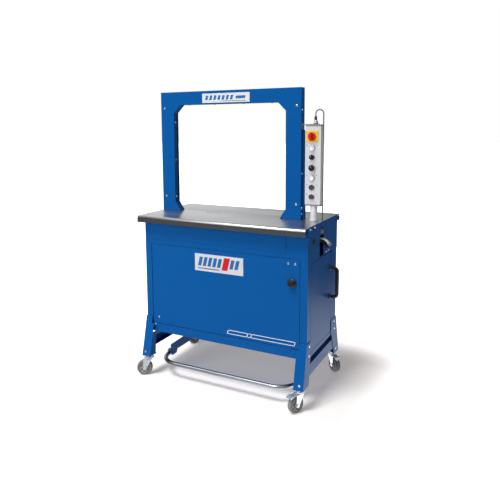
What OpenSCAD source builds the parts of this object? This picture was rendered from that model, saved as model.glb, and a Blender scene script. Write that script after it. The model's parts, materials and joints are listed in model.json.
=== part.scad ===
// Arch strapping machine on casters: a steel cabinet with a stainless table, a strap arch on the table,
// a control station on a post, a foot bar below, and the strap reel and strapping head inside.
// Millimetres, +Z up, the operator stands on the -Y side, z = 0 is the floor.

/* [Cabinet] */
// width of the cabinet
cab_w = 832; // [800:1:900]
// front face of the cabinet
cab_y0 = -180; // [-190:1:-170]
// rear face of the cabinet
cab_y1 = 212; // [205:1:225]
// underside of the cabinet
cab_z0 = 217; // [205:1:225]
// sheet thickness
sheet = 2; // [1.5:0.5:2.5]
// width of the front and rear post flanges
post_front = 33; // [30:1:40]
// depth of the front post flange on the side
post_side = 43; // [40:1:45]
// lower edge of the header above the front door
header_z = 653; // [640:1:665]
// height of the bottom rail
rail_h = 41; // [35:1:45]

/* [Front door] */
// side edges of the door
door_x0 = -379; // [-379:0.5:-378]
door_x1 = 381; // [378:0.5:381]
// depth of the door pan
pan = 16; // [12:1:18]
// hinge line of the front door
door_hinge_x = -364; // [-366:1:-362]
// knob centre
knob_x = 346; // [335:1:350]
knob_z = 549; // [500:1:580]

/* [Side door] */
// half width of the side door
side_door_half = 135; // [130:1:135]
// lower and upper edge of the side door
side_door_z0 = 240; // [240:1:250]
side_door_z1 = 628; // [600:1:629]
// handle position and pitch of its feet
handle_y = 116; // [100:1:118]
handle_z = 485; // [440:1:520]
handle_pitch = 128; // [110:1:150]
// distance of the grip's centre line from the door
handle_out = 36; // [30:1:40]

/* [Table] */
// top of the table
table_z = 789; // [780:1:800]
// thickness of the table sheet
table_t = 3; // [2:0.5:3]
// left, right, front and rear edge of the table
table_x0 = -436; // [-440:1:-430]
table_x1 = 415.5; // [414:0.5:415.5]
table_y0 = -214; // [-220:1:-205]
table_y1 = 256; // [250:1:260]
// rear edge of the front plate, where the strap line runs
seam_y = 46; // [44:1:50]
// gap between the two plates
seam = 3; // [2:0.5:4]
// height of the rolled edge
nose_h = 32; // [28:1:36]
// radius of the rolled edge
nose_r = 13; // [10:1:14]

/* [Arch] */
// centre of the arch across the table
arch_x = -62; // [-70:1:-50]
// outer width and height of the arch
arch_w = 750; // [740:1:760]
arch_h = 588; // [560:1:600]
// depth of the arch
arch_t = 40; // [38:1:42]
// width of a column and height of the beam
col_w = 75; // [70:1:80]
beam_h = 63; // [60:1:70]
// chamfer of the inner top corners
corner = 38; // [30:1:44]
// flare at the foot of the opening
flare_w = 28; // [20:1:32]
flare_h = 44; // [36:1:50]

/* [Control station] */
// centre of the station
box_x = 371; // [368:1:372]
// front of the station
box_y = -8; // [-12:1:-6]
// width and depth of the box profile
box_w = 72; // [70:1:74]
box_d = 34; // [32:1:36]
// lower and upper end of the box
box_z0 = 856; // [850:1:870]
box_z1 = 1214; // [1208:1:1220]
// post radius
post_r = 16; // [14:1:18]
// column of the control devices
dev_x = 367; // [365:1:371]
// push button radius and travel
btn_r = 11; // [10:0.5:11]
btn_travel = 3.5; // [2:0.5:4]
// radius of the control cable
cable_r = 3; // [2.5:0.25:3]

/* [Trestles] */
// width of a leg seen from the front
leg_w = 46; // [44:1:48]
// top of the legs on the cabinet corner
leg_top = 290; // [285:1:295]
// underside of the legs, where the casters are bolted
leg_z = 100; // [100:1:104]
// plate thickness of the legs
leg_t = 2.5; // [2:0.5:3]
// lower and upper edge of the cross bar
bar_z0 = 138; // [130:1:140]
bar_z1 = 188; // [184:1:190]

/* [Casters] */
// wheel radius and width
wheel_r = 37.5; // [36:0.5:38]
wheel_w = 24; // [20:1:25]
// offset of the wheel behind the swivel
trail = 24; // [20:1:26]
// swivel position across the machine
stem_x = 394; // [390:1:396]
// swivel positions, front and rear
stem_y0 = -202; // [-204:1:-198]
stem_y1 = 238; // [232:1:242]
// heading of each wheel behind its swivel, degrees
turn_fl = 215; // [180:1:270]
turn_fr = 243; // [200:1:270]
turn_rl = 250; // [180:1:270]
turn_rr = 322; // [300:1:360]

/* [Foot bar] */
// tube radius
tube_r = 10; // [8:0.5:11]
// height of the tube
bar_z = 76; // [70:1:80]
// front line of the tube
bar_y = -195; // [-200:1:-190]
// half width of the bar
bar_half = 350; // [345:1:352]
// bend radius
bar_bend = 100; // [80:5:110]
// pivot line
pivot_y = 130; // [120:1:135]
pivot_z = 190; // [188:1:192]

/* [Strapping head and reel] */
// centre of the reel
reel_x = 170; // [165:1:175]
reel_z = 430; // [425:1:435]
// flange and core radius
reel_r = 180; // [170:1:182]
core_r = 98; // [90:1:100]
// radius of the strap wound on it
coil_r = 158; // [120:1:165]
// feed roller radius and pinch roller radius
feed_r = 30; // [28:1:32]
pinch_r = 15; // [12:1:16]

/* [Part] */
// sub-part to draw

/* [Hidden] */
$fn = 64;
half = cab_w / 2;
eps = 0.5;
door_y = cab_y0 - 1;
door_z0 = cab_z0 + rail_h + 3;
door_z1 = header_z - 2;
hinge_y = door_y + 8;
side_hinge_x = half - 8;
side_hinge_y = -side_door_half + 15;
table_u = table_z - table_t;
lift_y = table_y1 - 10;
lift_z = table_u - 7.5;
head_x = -145.5;
shaft_r = 6;
fit = 0.05;
head_base = header_z + 14;
reel_shaft = 15;
lever_shaft = 8;
bearing = 14;
screw_r = 5;
brake_pin = 2.5;
brake_z = 81;
devices = [1111, 1072, 1025, 981, 939, 897];
switch_z = 1162;
selector_z = devices[1];
speed_z = devices[2];
feed_x = -40;
feed_z = 715;
pinch_shaft = 4;
pinch_x = feed_x + (feed_r + pinch_r + 0.3) * cos(50);
pinch_z = feed_z + (feed_r + pinch_r + 0.3) * sin(50);

blue = [0.0, 0.33, 0.62];
steel = [0.75, 0.75, 0.77];
zinc = [0.7, 0.73, 0.75];
black = [0.05, 0.05, 0.06];
grey = [0.55, 0.56, 0.57];
pale = [0.85, 0.86, 0.87];

// box from its low corner to its high corner
module span(a, b) { translate(a) cube(b - a); }
// round bar along Y from y0 to y1
module bar_y(x, z, r, y0, y1) { translate([x, y1, z]) rotate([90, 0, 0]) cylinder(r = r, h = y1 - y0); }
// round bar along X from x0 to x1
module bar_x(y, z, r, x0, x1) { translate([x0, y, z]) rotate([0, 90, 0]) cylinder(r = r, h = x1 - x0); }
// flat shape drawn in X and Z, thick from y0 to y1
module slab_y(y0, y1) { translate([0, y1, 0]) rotate([90, 0, 0]) linear_extrude(y1 - y0) children(); }
// flat shape drawn in Y and Z, thick from x0 to x1
module slab_x(x0, x1) { translate([x0, 0, 0]) rotate([90, 0, 90]) linear_extrude(x1 - x0) children(); }

// ---------- cabinet ----------
module post_pair(s) {
    x = s * half;
    span([min(x, x - s * sheet), cab_y0, cab_z0], [max(x, x - s * sheet), cab_y0 + post_side, table_u]);
    span([min(x, x - s * sheet), cab_y1 - 75, cab_z0], [max(x, x - s * sheet), cab_y1, table_u]);
    span([min(x, x - s * post_front), cab_y0, cab_z0], [max(x, x - s * post_front), cab_y0 + sheet, table_u]);
    span([min(x, x - s * post_front), cab_y1 - sheet, cab_z0], [max(x, x - s * post_front), cab_y1, table_u]);
}

module top_ring() {
    ring = 18;
    difference() {
        span([-half + sheet + 0.2, cab_y0 + sheet - eps, table_u - ring], [half - sheet - 0.2, cab_y1 - sheet + eps, table_u]);
        span([-half + ring + 2, cab_y0 + ring + 2, table_u - ring - 1], [half - ring - 2, cab_y1 - ring - 2, table_u + 1]);
        translate([box_x + 32, 37, table_u - ring - 1]) cylinder(r = 8, h = ring + 2);
    }
    for (x = [-half + 1, half - ring - 1], y = [cab_y0 + 1, cab_y1 - ring - 1])
        span([x, y, table_u - ring], [x + ring, y + ring, table_u]);
}

module rear_ear(x) {
    difference() {
        union() {
            span([x, cab_y1 - 12, lift_z - 5.5], [x + 6, lift_y, lift_z + 5.5]);
            bar_x(lift_y, lift_z, 5.5, x, x + 6);
        }
        bar_x(lift_y, lift_z, 3 + fit, x - 1, x + 7);
    }
}

module hinge_plate(x, y, z) { span([x - 7, y - 5.5, z], [x + 7, y + 7, z + 3]); }

module cabinet_frame() color(blue) {
    difference() {
        union() {
            // bottom tray with upstands
            span([-half, cab_y0, cab_z0], [half, cab_y1, cab_z0 + sheet]);
            span([-half, cab_y0, cab_z0], [half, cab_y0 + sheet, cab_z0 + rail_h]);
            span([-half, cab_y1 - sheet, cab_z0], [half, cab_y1, cab_z0 + rail_h]);
            for (x = [-half, half - sheet])
                span([x, cab_y0, cab_z0], [x + sheet, cab_y1, side_door_z0 - 2]);
            // headers over the doors
            for (y = [cab_y0, cab_y1 - sheet])
                span([-half, y, header_z], [half, y + sheet, table_u]);
            post_pair(-1);
            post_pair(1);
            top_ring();
            // door pivot plates on the rail and on the header
            hinge_plate(door_hinge_x, hinge_y, door_z0 - 4);
            hinge_plate(door_hinge_x, hinge_y, door_z1 + 1);
            for (x = [-390, 384]) rear_ear(x);
            // side door pivot ledges
            for (z = [side_door_z0 - 4, side_door_z1 + 1])
                span([half - 15, -side_door_half - 3, z], [half, side_hinge_y + 8, z + 3]);
        }
        for (z = [door_z0 - 5, door_z1])
            translate([door_hinge_x, hinge_y, z]) cylinder(r = 3, h = 5);
        for (z = [side_door_z0 - 5, side_door_z1])
            translate([side_hinge_x, side_hinge_y, z]) cylinder(r = 3, h = 5);
    }
}

module inner_brackets() color(blue) {
    // bridges that carry the strapping head
    for (x = [-262, 18])
        span([x, cab_y0 + sheet, header_z + 2], [x + 24, cab_y1 - sheet, head_base]);
    // reel stand and shaft
    span([reel_x - 50, 150, cab_z0 + sheet], [reel_x + 50, 156, reel_z + 50]);
    bar_y(reel_x, reel_z, reel_shaft, -96, 151);
    // bearing blocks of the foot bar shaft
    difference() {
        for (x = [-300, 280])
            span([x, pivot_y - bearing, pivot_z - bearing], [x + 20, pivot_y + bearing, cab_z0]);
        bar_x(pivot_y, pivot_z, lever_shaft + fit, -301, 301);
    }
}

module fixed_panels() color(blue) {
    // fascia over the front door
    span([-half + 35, cab_y0 - sheet, 676], [317, cab_y0, table_u - 3]);
    span([-half, cab_y0 + post_side + 1, side_door_z0 - 1], [-half + sheet, cab_y1 - 76, table_u - 1]);
    difference() {
        span([-half + post_front + 1, cab_y1 - sheet, cab_z0 + rail_h + 1], [half - post_front - 1, cab_y1, header_z - 1]);
        bar_y(290, 300, 12, cab_y1 - 5, cab_y1 + 5);
    }
}

slot_y0 = -37;
slot_y1 = 15;
slot_z0 = 636;
slot_z1 = 768;
module right_panel() color(blue) {
    difference() {
        slab_x(half, half + sheet) polygon([[cab_y0 - 6, 632], [cab_y1, 632], [cab_y1, table_z + 1],
            [cab_y0 + 12, table_z + 1], [cab_y0 - 6, table_z - 18]]);
        span([half - 1, slot_y0, slot_z0], [half + 3, slot_y1, slot_z1 - 26]);
        bar_x((slot_y0 + slot_y1) / 2, slot_z1 - 26, 26, half - 1, half + 3);
    }
    // roller ears and axle behind the slot
    for (y = [-29, 4]) span([half - 26, y, 728], [half + 0.5, y + 3, 764]);
    bar_y(half - 8, 746, 4, -28, 6);
    // small stop button on the panel
    difference() {
        bar_x(-111, 719, 13, half + sheet - 0.5, half + sheet + 5);
        bar_x(-111, 719, 6, half + sheet + 2, half + sheet + 6);
    }
}

module pan_door(w, d, h) {
    difference() {
        cube([w, d, h]);
        translate([sheet, sheet, sheet]) cube([w - 2 * sheet, d, h - 2 * sheet]);
    }
}

module pivot_tube(x, y, z, h) {
    difference() {
        union() {
            translate([x, y, z]) cylinder(r = 5.5, h = h);
            span([x - 4, y - 8 + 1, z], [x + 4, y - 3, z + h]);
        }
        translate([x, y, z - 1]) cylinder(r = 3 + fit, h = h + 2);
    }
}

module front_door() color(blue) {
    difference() {
        union() {
            translate([door_x0, door_y, door_z0]) pan_door(door_x1 - door_x0, pan, door_z1 - door_z0);
            for (z = [door_z0, door_z1 - 20]) pivot_tube(door_hinge_x, hinge_y, z, 20);
        }
        bar_y(knob_x, knob_z, 7 + fit, door_y - 1, door_y + 5);
        translate([door_hinge_x, hinge_y, door_z0 - 1]) cylinder(r = 3 + fit, h = 22);
        translate([door_hinge_x, hinge_y, door_z1 - 21]) cylinder(r = 3 + fit, h = 22);
    }
}

module door_pins() color(zinc) {
    for (z = [door_z0 - 4, door_z1 - 16]) translate([door_hinge_x, hinge_y, z]) cylinder(r = 3, h = 20);
    for (z = [side_door_z0 - 4, side_door_z1 - 16]) translate([side_hinge_x, side_hinge_y, z]) cylinder(r = 3, h = 20);
}

module door_knob() color(black) {
    translate([knob_x, door_y, knob_z]) {
        rotate([90, 0, 0]) translate([0, 0, 0.3]) cylinder(r = 19.5, h = 7);
        rotate([90, 0, 0]) translate([0, 0, 7]) cylinder(r = 16, h = 13);
        for (a = [0:45:315]) rotate([0, a, 0]) translate([14.5, -19, 0]) rotate([-90, 0, 0]) cylinder(r = 4, h = 15);
        rotate([-90, 0, 0]) translate([0, 0, -1]) cylinder(r = 7, h = 24);
    }
    // cam behind the door
    span([knob_x - 9, door_y + 18, knob_z - 46], [knob_x + 9, door_y + 21.5, knob_z + 9.5]);
}

module side_door() color(blue) {
    difference() {
        union() {
            translate([half, -side_door_half, side_door_z0]) rotate([0, 0, 90])
                pan_door(2 * side_door_half, pan, side_door_z1 - side_door_z0);
            for (z = [side_door_z0, side_door_z1 - 20])
                translate([side_hinge_x, side_hinge_y, z]) cylinder(r = 5.5, h = 20);
            for (z = [side_door_z0, side_door_z1 - 20])
                span([side_hinge_x + 3, side_hinge_y - 4, z], [half - 1, side_hinge_y + 4, z + 20]);
        }
        for (z = [side_door_z0 - 1, side_door_z1 - 21])
            translate([side_hinge_x, side_hinge_y, z]) cylinder(r = 3 + fit, h = 22);
    }
}

module side_handle() color(black) {
    grip = 8.5;
    translate([half, handle_y, handle_z]) {
        for (s = [-1, 1]) translate([0, 0, s * handle_pitch / 2]) rotate([0, 90, 0]) {
            cylinder(r = 13, h = 5);
            cylinder(r = grip - 1, h = handle_out);
        }
        translate([handle_out, 0, -handle_pitch / 2 - grip]) cylinder(r = grip, h = handle_pitch + 2 * grip);
    }
}

module door_label() color(pale) span([-135, door_y - 1, 550], [115, door_y, 630]);

module cap_screw_y(x, y, z, r) bar_y(x, z, r, y - 2.5, y);
module cap_screw_x(x, y, z, r) bar_x(y, z, r, x, x + 3);

module door_screws() color(zinc) {
    cap_screw_y(329, door_y, 632, 5);
    cap_screw_y(361, door_y, 632, 5);
    cap_screw_y(-346, door_y, 292, 5);
}

module frame_screws() color(zinc) {
    cap_screw_y(-368, cab_y0, 252, 4);
    for (p = [[-158, 779], [-100, 779], [52, 645], [84, 645]]) cap_screw_x(half + sheet, p[0], p[1], 4);
    for (s = [-1, 1]) {
        outer = half + leg_t;
        for (p = [[-160, 275], [-164, 233], [180, 275], [187, 236], [214, 126]])
            if (s > 0) cap_screw_x(outer, p[0], p[1], 6); else cap_screw_x(-outer - 3, p[0], p[1], 6);
    }
    // one bolt low on the front of each front leg
    for (x = [-stem_x - 6, stem_x + 6]) bar_y(x, 122, 5, stem_y0 - 26.2, stem_y0 - 22.2);
}

// ---------- table ----------
module nose(y, s) {
    // rolled edge drawn in Y and Z
    difference() {
        union() {
            translate([y - s * nose_r, table_z - nose_r]) circle(r = nose_r);
            translate([min(y, y - s * table_t), table_z - nose_h]) square([table_t, nose_h - nose_r]);
            translate([min(y, y - s * 14), table_z - nose_h]) square([14, table_t]);
        }
        translate([y - s * nose_r, table_z - nose_r]) circle(r = nose_r - table_t);
        translate([min(y - s * table_t, y - s * 40), table_z - nose_h + table_t]) square([40 - table_t, nose_h - nose_r - table_t]);
        translate([min(y - s * nose_r, y - s * 60), table_z - nose_h + table_t]) square([60 - nose_r, nose_h - 2 * table_t]);
    }
}

module table_front() color(steel) {
    difference() {
        union() {
            span([table_x0, table_y0 + nose_r, table_u], [table_x1, seam_y, table_z]);
            slab_x(table_x0, table_x1) nose(table_y0, -1);
        }
        // opening over the strapping head and the two strap slots at the columns
        span([head_x - 43, 11, table_u - 1], [head_x + 43, 29, table_z + 1]);
        for (x = [arch_x - arch_w / 2 + col_w - 16, arch_x + arch_w / 2 - col_w + 4])
            span([x, 28, table_u - 1], [x + 12, 37, table_z + 1]);
        translate([box_x + 32, 37, table_u - 1]) cylinder(r = cable_r + 0.3, h = table_t + 2);
    }
}

module table_rear() color(steel) {
    span([table_x0, seam_y + seam, table_u], [table_x1, table_y1 - nose_r, table_z]);
    slab_x(table_x0, table_x1) nose(table_y1, 1);
    for (s = [-1, 1]) {
        lug = s > 0 ? 391 : -395;
        span([lug, table_y1 - 17, table_u - 12], [lug + 4, table_y1 - 4, table_u + 1]);
        bar_x(lift_y, lift_z, 3, s > 0 ? 384 : -391.5, s > 0 ? 391.5 : -384);
    }
}

// ---------- arch ----------
// outline drawn in X and Z: o moves the outer edge in, i moves the inner edge out
module arch_outer(o) {
    w = arch_w / 2 - o;
    translate([arch_x - w, table_z]) square([2 * w, arch_h - o]);
}
module arch_inner(i) {
    w = arch_w / 2 - col_w + i;
    top = table_z + arch_h - beam_h + i;
    c = corner + 0.586 * i;
    f = flare_w;
    translate([arch_x, 0]) polygon([[-w + f, table_z - 1], [w - f, table_z - 1], [w - f, table_z], [w, table_z + flare_h],
        [w, top - c], [w - c, top], [-w + c, top], [-w, top - c], [-w, table_z + flare_h], [-w + f, table_z]]);
}
module ring_2d(o, i) { difference() { arch_outer(o); arch_inner(i); } }

module arch_front_cover() color(blue) {
    slab_y(0, sheet) ring_2d(0, 0);
    slab_y(sheet - eps, arch_t - sheet - 0.2) difference() { arch_outer(0); arch_outer(sheet); translate([arch_x - 400, table_z - 1]) square([800, 1]); }
    slab_y(sheet - eps, 26) difference() { arch_inner(sheet); arch_inner(0); translate([arch_x - 400, table_z - 2]) square([800, 2]); }
}

module arch_rear_cover() color(blue) {
    slab_y(arch_t - sheet, arch_t) ring_2d(0, 0);
    // cable duct beside the right column
    span([arch_x + arch_w / 2 + 0.1, 16, table_z], [arch_x + arch_w / 2 + 9, arch_t, 1190]);
}

module strap_channel() color(black) {
    difference() {
        slab_y(26.5, 37.5) difference() { arch_inner(20); arch_inner(1); translate([arch_x - 400, table_z - 2]) square([800, 2.2]); }
        slab_y(29.5, 34.5) difference() { arch_inner(14); arch_inner(0); }
    }
}

module arch_bolts() color(zinc) {
    for (s = [-1, 1], z = [859, 1297]) cap_screw_y(arch_x + s * (arch_w / 2 - 22), 0, z, 5);
    for (z = [815, 841, 997, 1278]) cap_screw_x(arch_x + arch_w / 2, 11, z, 5);
    for (z = [815, 841, 997, 1184, 1278]) cap_screw_x(arch_x - arch_w / 2 - 3, 11, z, 5);
    for (s = [-1, 1], z = [860, 1044, 1229]) bar_x(12, z, 5, s > 0 ? arch_x + arch_w / 2 - col_w - 3 : arch_x - arch_w / 2 + col_w, s > 0 ? arch_x + arch_w / 2 - col_w : arch_x - arch_w / 2 + col_w + 3);
    for (x = [-214, -70, 85, 229]) translate([arch_x + x, 12, table_z + arch_h - beam_h - 3]) cylinder(r = 5, h = 3);
}

module arch_label() color(pale) span([arch_x - 133, -1, 1320], [arch_x + 121, 0, 1364]);

// ---------- control station ----------
module control_post() color(steel) {
    translate([box_x + 1, 9, table_z]) cylinder(r = post_r, h = box_z0 - table_z);
    translate([box_x + 1, 9, table_z]) cylinder(r = post_r + 4, h = 6);
}

module control_box() color(grey) {
    wall = 2.5;
    difference() {
        span([box_x - box_w / 2, box_y + 3, box_z0 + 8], [box_x + box_w / 2, box_y + box_d, box_z1 - 8]);
        span([box_x - box_w / 2 + wall, box_y + 2, box_z0 + 7], [box_x + box_w / 2 - wall, box_y + box_d - wall, box_z1 - 7]);
    }
}

module control_front() color(pale) {
    difference() {
        span([box_x - box_w / 2, box_y, box_z0 + 8], [box_x + box_w / 2, box_y + 3, box_z1 - 8]);
        for (z = devices) bar_y(dev_x, z, btn_r + 0.3, box_y - 1, box_y + 4);
        bar_y(dev_x, switch_z, 8.2, box_y - 1, box_y + 4);
    }
}

module control_caps() color(grey) {
    span([box_x - box_w / 2 - 1, box_y - 1, box_z1 - 8], [box_x + box_w / 2 + 1, box_y + box_d + 1, box_z1]);
    span([box_x - box_w / 2 - 1, box_y - 1, box_z0], [box_x + box_w / 2 + 1, box_y + box_d + 1, box_z0 + 8]);
}

module box_bracket() color(steel) {
    face = arch_x + arch_w / 2;
    span([face, 4, box_z1], [box_x + 20, 26, box_z1 + 3]);
    span([face, 4, box_z1 - 22], [face + 3, 26, box_z1 + 1]);
}

module switch_plate() color([0.95, 0.8, 0.05]) {
    difference() {
        span([dev_x - 28, box_y - 3, switch_z - 24.5], [dev_x + 28, box_y, switch_z + 24.5]);
        bar_y(dev_x, switch_z, 8.2, box_y - 4, box_y + 1);
    }
}

module switch_handle() color([0.8, 0.05, 0.05]) {
    bar_y(dev_x, switch_z, 18, box_y - 12, box_y - 3.3);
    span([dev_x - 6, box_y - 27, switch_z - 20], [dev_x + 6, box_y - 11, switch_z + 20]);
    bar_y(dev_x, switch_z, 8, box_y - 4, box_y + 6);
}

module push_button(z) bar_y(dev_x, z, btn_r, box_y - 4 - btn_travel, box_y + 6);
module white_button_upper() color(pale) push_button(devices[0]);
module white_button_lower() color(pale) push_button(devices[3]);
module dark_button_upper() color([0.25, 0.26, 0.28]) push_button(devices[4]);
module dark_button_lower() color([0.25, 0.26, 0.28]) push_button(devices[5]);

module button_bezels() color(zinc) {
    for (z = devices) difference() {
        bar_y(dev_x, z, 14.5, box_y - 4, box_y);
        bar_y(dev_x, z, btn_r + 0.3, box_y - 5, box_y + 1);
    }
}

module mode_selector() color(black) {
    bar_y(dev_x, selector_z, btn_r, box_y - 8, box_y + 6);
    span([dev_x - 3.5, box_y - 18, selector_z - 10], [dev_x + 3.5, box_y - 7, selector_z + 10]);
}

module speed_knob() color(black) {
    bar_y(dev_x, speed_z, btn_r, box_y - 6, box_y + 6);
    bar_y(dev_x, speed_z, 13.5, box_y - 9, box_y - 4.4);
    difference() {
        bar_y(dev_x, speed_z, 10, box_y - 20, box_y - 8);
        span([dev_x - 0.8, box_y - 21, speed_z + 3], [dev_x + 0.8, box_y - 19, speed_z + 11]);
    }
}

gland_x = 376;
gland_y = 10;
cable_bend = 19;
module cable_gland() color(grey) {
    difference() {
        union() {
            translate([gland_x, gland_y, box_z1 + 3]) cylinder(r = 12, h = 8);
            translate([gland_x, gland_y, box_z1 + 10]) cylinder(r = 9.5, h = 26);
            translate([gland_x, gland_y, box_z1 + 20]) cylinder(r = 11, h = 14);
        }
        translate([gland_x, gland_y, box_z1 + 14]) cylinder(r = cable_r + 0.1, h = 30);
    }
}

module control_cable() color(grey) {
    top = box_z1 + 46;
    translate([gland_x, gland_y, box_z1 + 16]) cylinder(r = cable_r, h = top - box_z1 - 16);
    translate([gland_x, gland_y, top]) rotate([0, 0, 45]) translate([cable_bend, 0, 0])
        rotate([90, 0, 0]) rotate_extrude(angle = 180) translate([cable_bend, 0]) circle(r = cable_r - 0.01);
    translate([gland_x + cable_bend * sqrt(2), gland_y + cable_bend * sqrt(2), table_u - 12]) cylinder(r = cable_r, h = top - table_u + 12);
}

// ---------- trestles ----------
// right trestle; the left one is its mirror image
front_top = cab_y0 - 4;
front_foot = stem_y0 - 26;
rear_top = cab_y1 + 4;
rear_foot = stem_y1 + 26;
module leg(top, foot, top_in, foot_in, s) {
    // s = -1 for the front leg, 1 for the rear leg; top_in and foot_in are the inner edges of the outer flange
    slab_x(half, half + leg_t) polygon([[top, leg_top], [top_in, leg_top], [top_in, side_door_z0 - 6], [foot_in, leg_z], [foot, leg_z]]);
    difference() {
        slab_x(half + leg_t - leg_w, half + leg_t) polygon([[top, leg_top], [top - s * leg_t, leg_top], [foot - s * leg_t, leg_z], [foot, leg_z]]);
        span([half + leg_t - leg_w - 1, min(top, foot) - leg_t - 1, door_z0 - 4], [half - post_front + 1, max(top, foot) + leg_t + 1, leg_top + 1]);
    }
    knee = top + (foot - top) * (leg_top - cab_z0 + 3) / (leg_top - leg_z);
    slab_x(half + leg_t - leg_w, half + 2 * leg_t - leg_w) polygon([[knee, cab_z0 - 3], [knee - s * 30, cab_z0 - 3], [foot - s * 46, leg_z], [foot, leg_z]]);
    span([half + leg_t - leg_w, min(foot, foot - s * 52), leg_z], [half + leg_t, max(foot, foot - s * 52), leg_z + 4]);
}

module right_half() {
    difference() {
        union() {
            leg(front_top, front_foot, cab_y0 + post_side - 3, front_foot + 66, -1);
            leg(rear_top, rear_foot, cab_y1 - 72, rear_foot - 66, 1);
            // cross bar, a channel open to the inside
            span([half - leg_t - 0.5, front_foot + 24, bar_z0], [half + 0.5, rear_foot - 24, bar_z1]);
            for (z = [bar_z0, bar_z1 - leg_t])
                span([half - 32, front_foot + 28, z], [half, rear_foot - 28, z + leg_t]);
        }
        for (y = [stem_y0, stem_y1]) translate([stem_x, y, leg_z - 1]) cylinder(r = 5, h = 6);
    }
}
module right_trestle() color(blue) right_half();
module left_trestle() color(blue) mirror([1, 0, 0]) right_half();

// ---------- casters ----------
stems = [[-stem_x, stem_y0, turn_fl], [stem_x, stem_y0, turn_fr], [-stem_x, stem_y1, turn_rl], [stem_x, stem_y1, turn_rr]];
module at_caster(c) { translate([c[0], c[1], 0]) rotate([0, 0, c[2]]) children(); }

module caster_heads() color(zinc) {
    for (c = stems) translate([c[0], c[1], 0]) {
        translate([0, 0, 94]) cylinder(r = 19, h = leg_z - 94);
        translate([0, 0, 94]) cylinder(r = 4.95, h = 24);
        translate([0, 0, leg_z + 4]) cylinder(r = 9, h = 6, $fn = 6);
        translate([0, 0, 84]) cylinder(r = 6, h = 11);
    }
}

module fork() color(zinc) {
    arm = 3;
    gap = wheel_w / 2 + 2.5;
    difference() {
        union() {
            translate([0, 0, 86]) cylinder(r = 21, h = 7.6);
            span([0, -gap - arm, 84], [28, gap + arm, 88]);
            for (s = [-1, 1]) translate([0, s > 0 ? gap + arm : -gap, 0]) rotate([90, 0, 0]) linear_extrude(arm)
                polygon([[-14, 88], [30, 88], [trail + 9, wheel_r + 2], [trail + 6, wheel_r - 6], [trail - 4, wheel_r - 8], [trail - 9, wheel_r]]);
        }
        translate([0, 0, 80]) cylinder(r = 6 + fit, h = 20);
        bar_y(10, brake_z, brake_pin + fit, -30, 30);
    }
    translate([trail, gap + arm + 3, wheel_r]) rotate([90, 0, 0]) cylinder(r = 5, h = 2 * (gap + arm + 3));
    for (s = [-1, 1]) translate([trail, s > 0 ? gap + arm + 4 : -gap - arm, wheel_r]) rotate([90, 0, 0]) cylinder(r = 7.5, h = 4, $fn = 6);
}

module wheel() color(grey) {
    translate([trail, 0, wheel_r]) rotate([90, 0, 0]) rotate_extrude()
        polygon([[5 + fit, -13], [10, -13], [10, -9], [26, -9], [27, -11], [33, -12], [36, -10], [37.2, -6], [wheel_r, 0],
            [37.2, 6], [36, 10], [33, 12], [27, 11], [26, 9], [10, 9], [10, 13], [5 + fit, 13]]);
}

module brake() color(zinc) {
    bar_y(10, brake_z, brake_pin, -17.5, 17.5);
    span([10, -13.5, brake_z - 1.5], [43, 13.5, brake_z + 1.5]);
    rotate([90, 0, 0]) translate([0, 0, -17]) linear_extrude(34)
        polygon([[42, 79.5], [42, 82.5], [47, 82.5], [60, 78.5], [64, 73], [62, 71.5], [58.5, 75.5], [46, 79.5]]);
}

module fork_fl() at_caster(stems[0]) fork();
module fork_fr() at_caster(stems[1]) fork();
module fork_rl() at_caster(stems[2]) fork();
module fork_rr() at_caster(stems[3]) fork();
module wheel_fl() at_caster(stems[0]) wheel();
module wheel_fr() at_caster(stems[1]) wheel();
module wheel_rl() at_caster(stems[2]) wheel();
module wheel_rr() at_caster(stems[3]) wheel();
module brake_fr() at_caster(stems[1]) brake();
module brake_rr() at_caster(stems[3]) brake();

// ---------- foot bar ----------
module foot_bar() color(steel) {
    run = bar_half - bar_bend;
    bar_x(bar_y, bar_z, tube_r, -run, run);
    for (s = [-1, 1]) {
        translate([s * run, bar_y + bar_bend, bar_z]) rotate([0, 0, s > 0 ? -90 : -180])
            rotate_extrude(angle = 90) translate([bar_bend, 0]) circle(r = tube_r - 0.01);
        bar_y(s * bar_half, bar_z, tube_r, bar_y + bar_bend, -62);
    }
}

lever_x = 331;
module foot_levers() color(blue) {
    for (s = [-1, 1]) slab_x(s > 0 ? lever_x : -lever_x - 6, s > 0 ? lever_x + 6 : -lever_x)
        polygon([[-106, 124], [-98, 66], [-62, 66], [-52, 84], [92, 84], [152, 178], [148, 204], [112, 204], [98, 176], [62, 128]]);
    bar_x(pivot_y, pivot_z, lever_shaft, -lever_x - 1, lever_x + 1);
}

module foot_clamps() color(zinc) {
    for (s = [-1, 1]) difference() {
        union() {
            bar_x(-80, bar_z, 17, s > 0 ? lever_x + 6 : -bar_half - 14, s > 0 ? bar_half + 14 : -lever_x - 6);
            for (z = [bar_z + 26, bar_z + 40])
                bar_x(-84, z, 6, s > 0 ? lever_x + 6 : -lever_x - 11, s > 0 ? lever_x + 11 : -lever_x - 6);
        }
        bar_y(s * bar_half, bar_z, tube_r, -110, -50);
    }
}

// ---------- strap inlet on the right side ----------
guide_y = -14;
module strap_guide() color(pale) {
    // quarter ring that turns the strap down outside the slot, with two cheeks
    translate([half - 6, guide_y + 14, 672]) rotate([90, 0, 0]) {
        rotate_extrude(angle = 92, start = -2) translate([42, -12]) square([4, 24]);
        difference() {
            linear_extrude(2, center = true) intersection() { circle(r = 45); translate([0, -10]) square([60, 60]); }
            translate([0, 0, -3]) cylinder(r = 20, h = 6);
        }
    }
}

module guide_roller() color(grey) {
    difference() {
        union() {
            bar_y(half - 8, 746, 12, -24, 1);
            for (y = [-25.5, 0]) bar_y(half - 8, 746, 14.5, y, y + 2.5);
        }
        bar_y(half - 8, 746, 4 + fit, -30, 8);
    }
}

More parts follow.
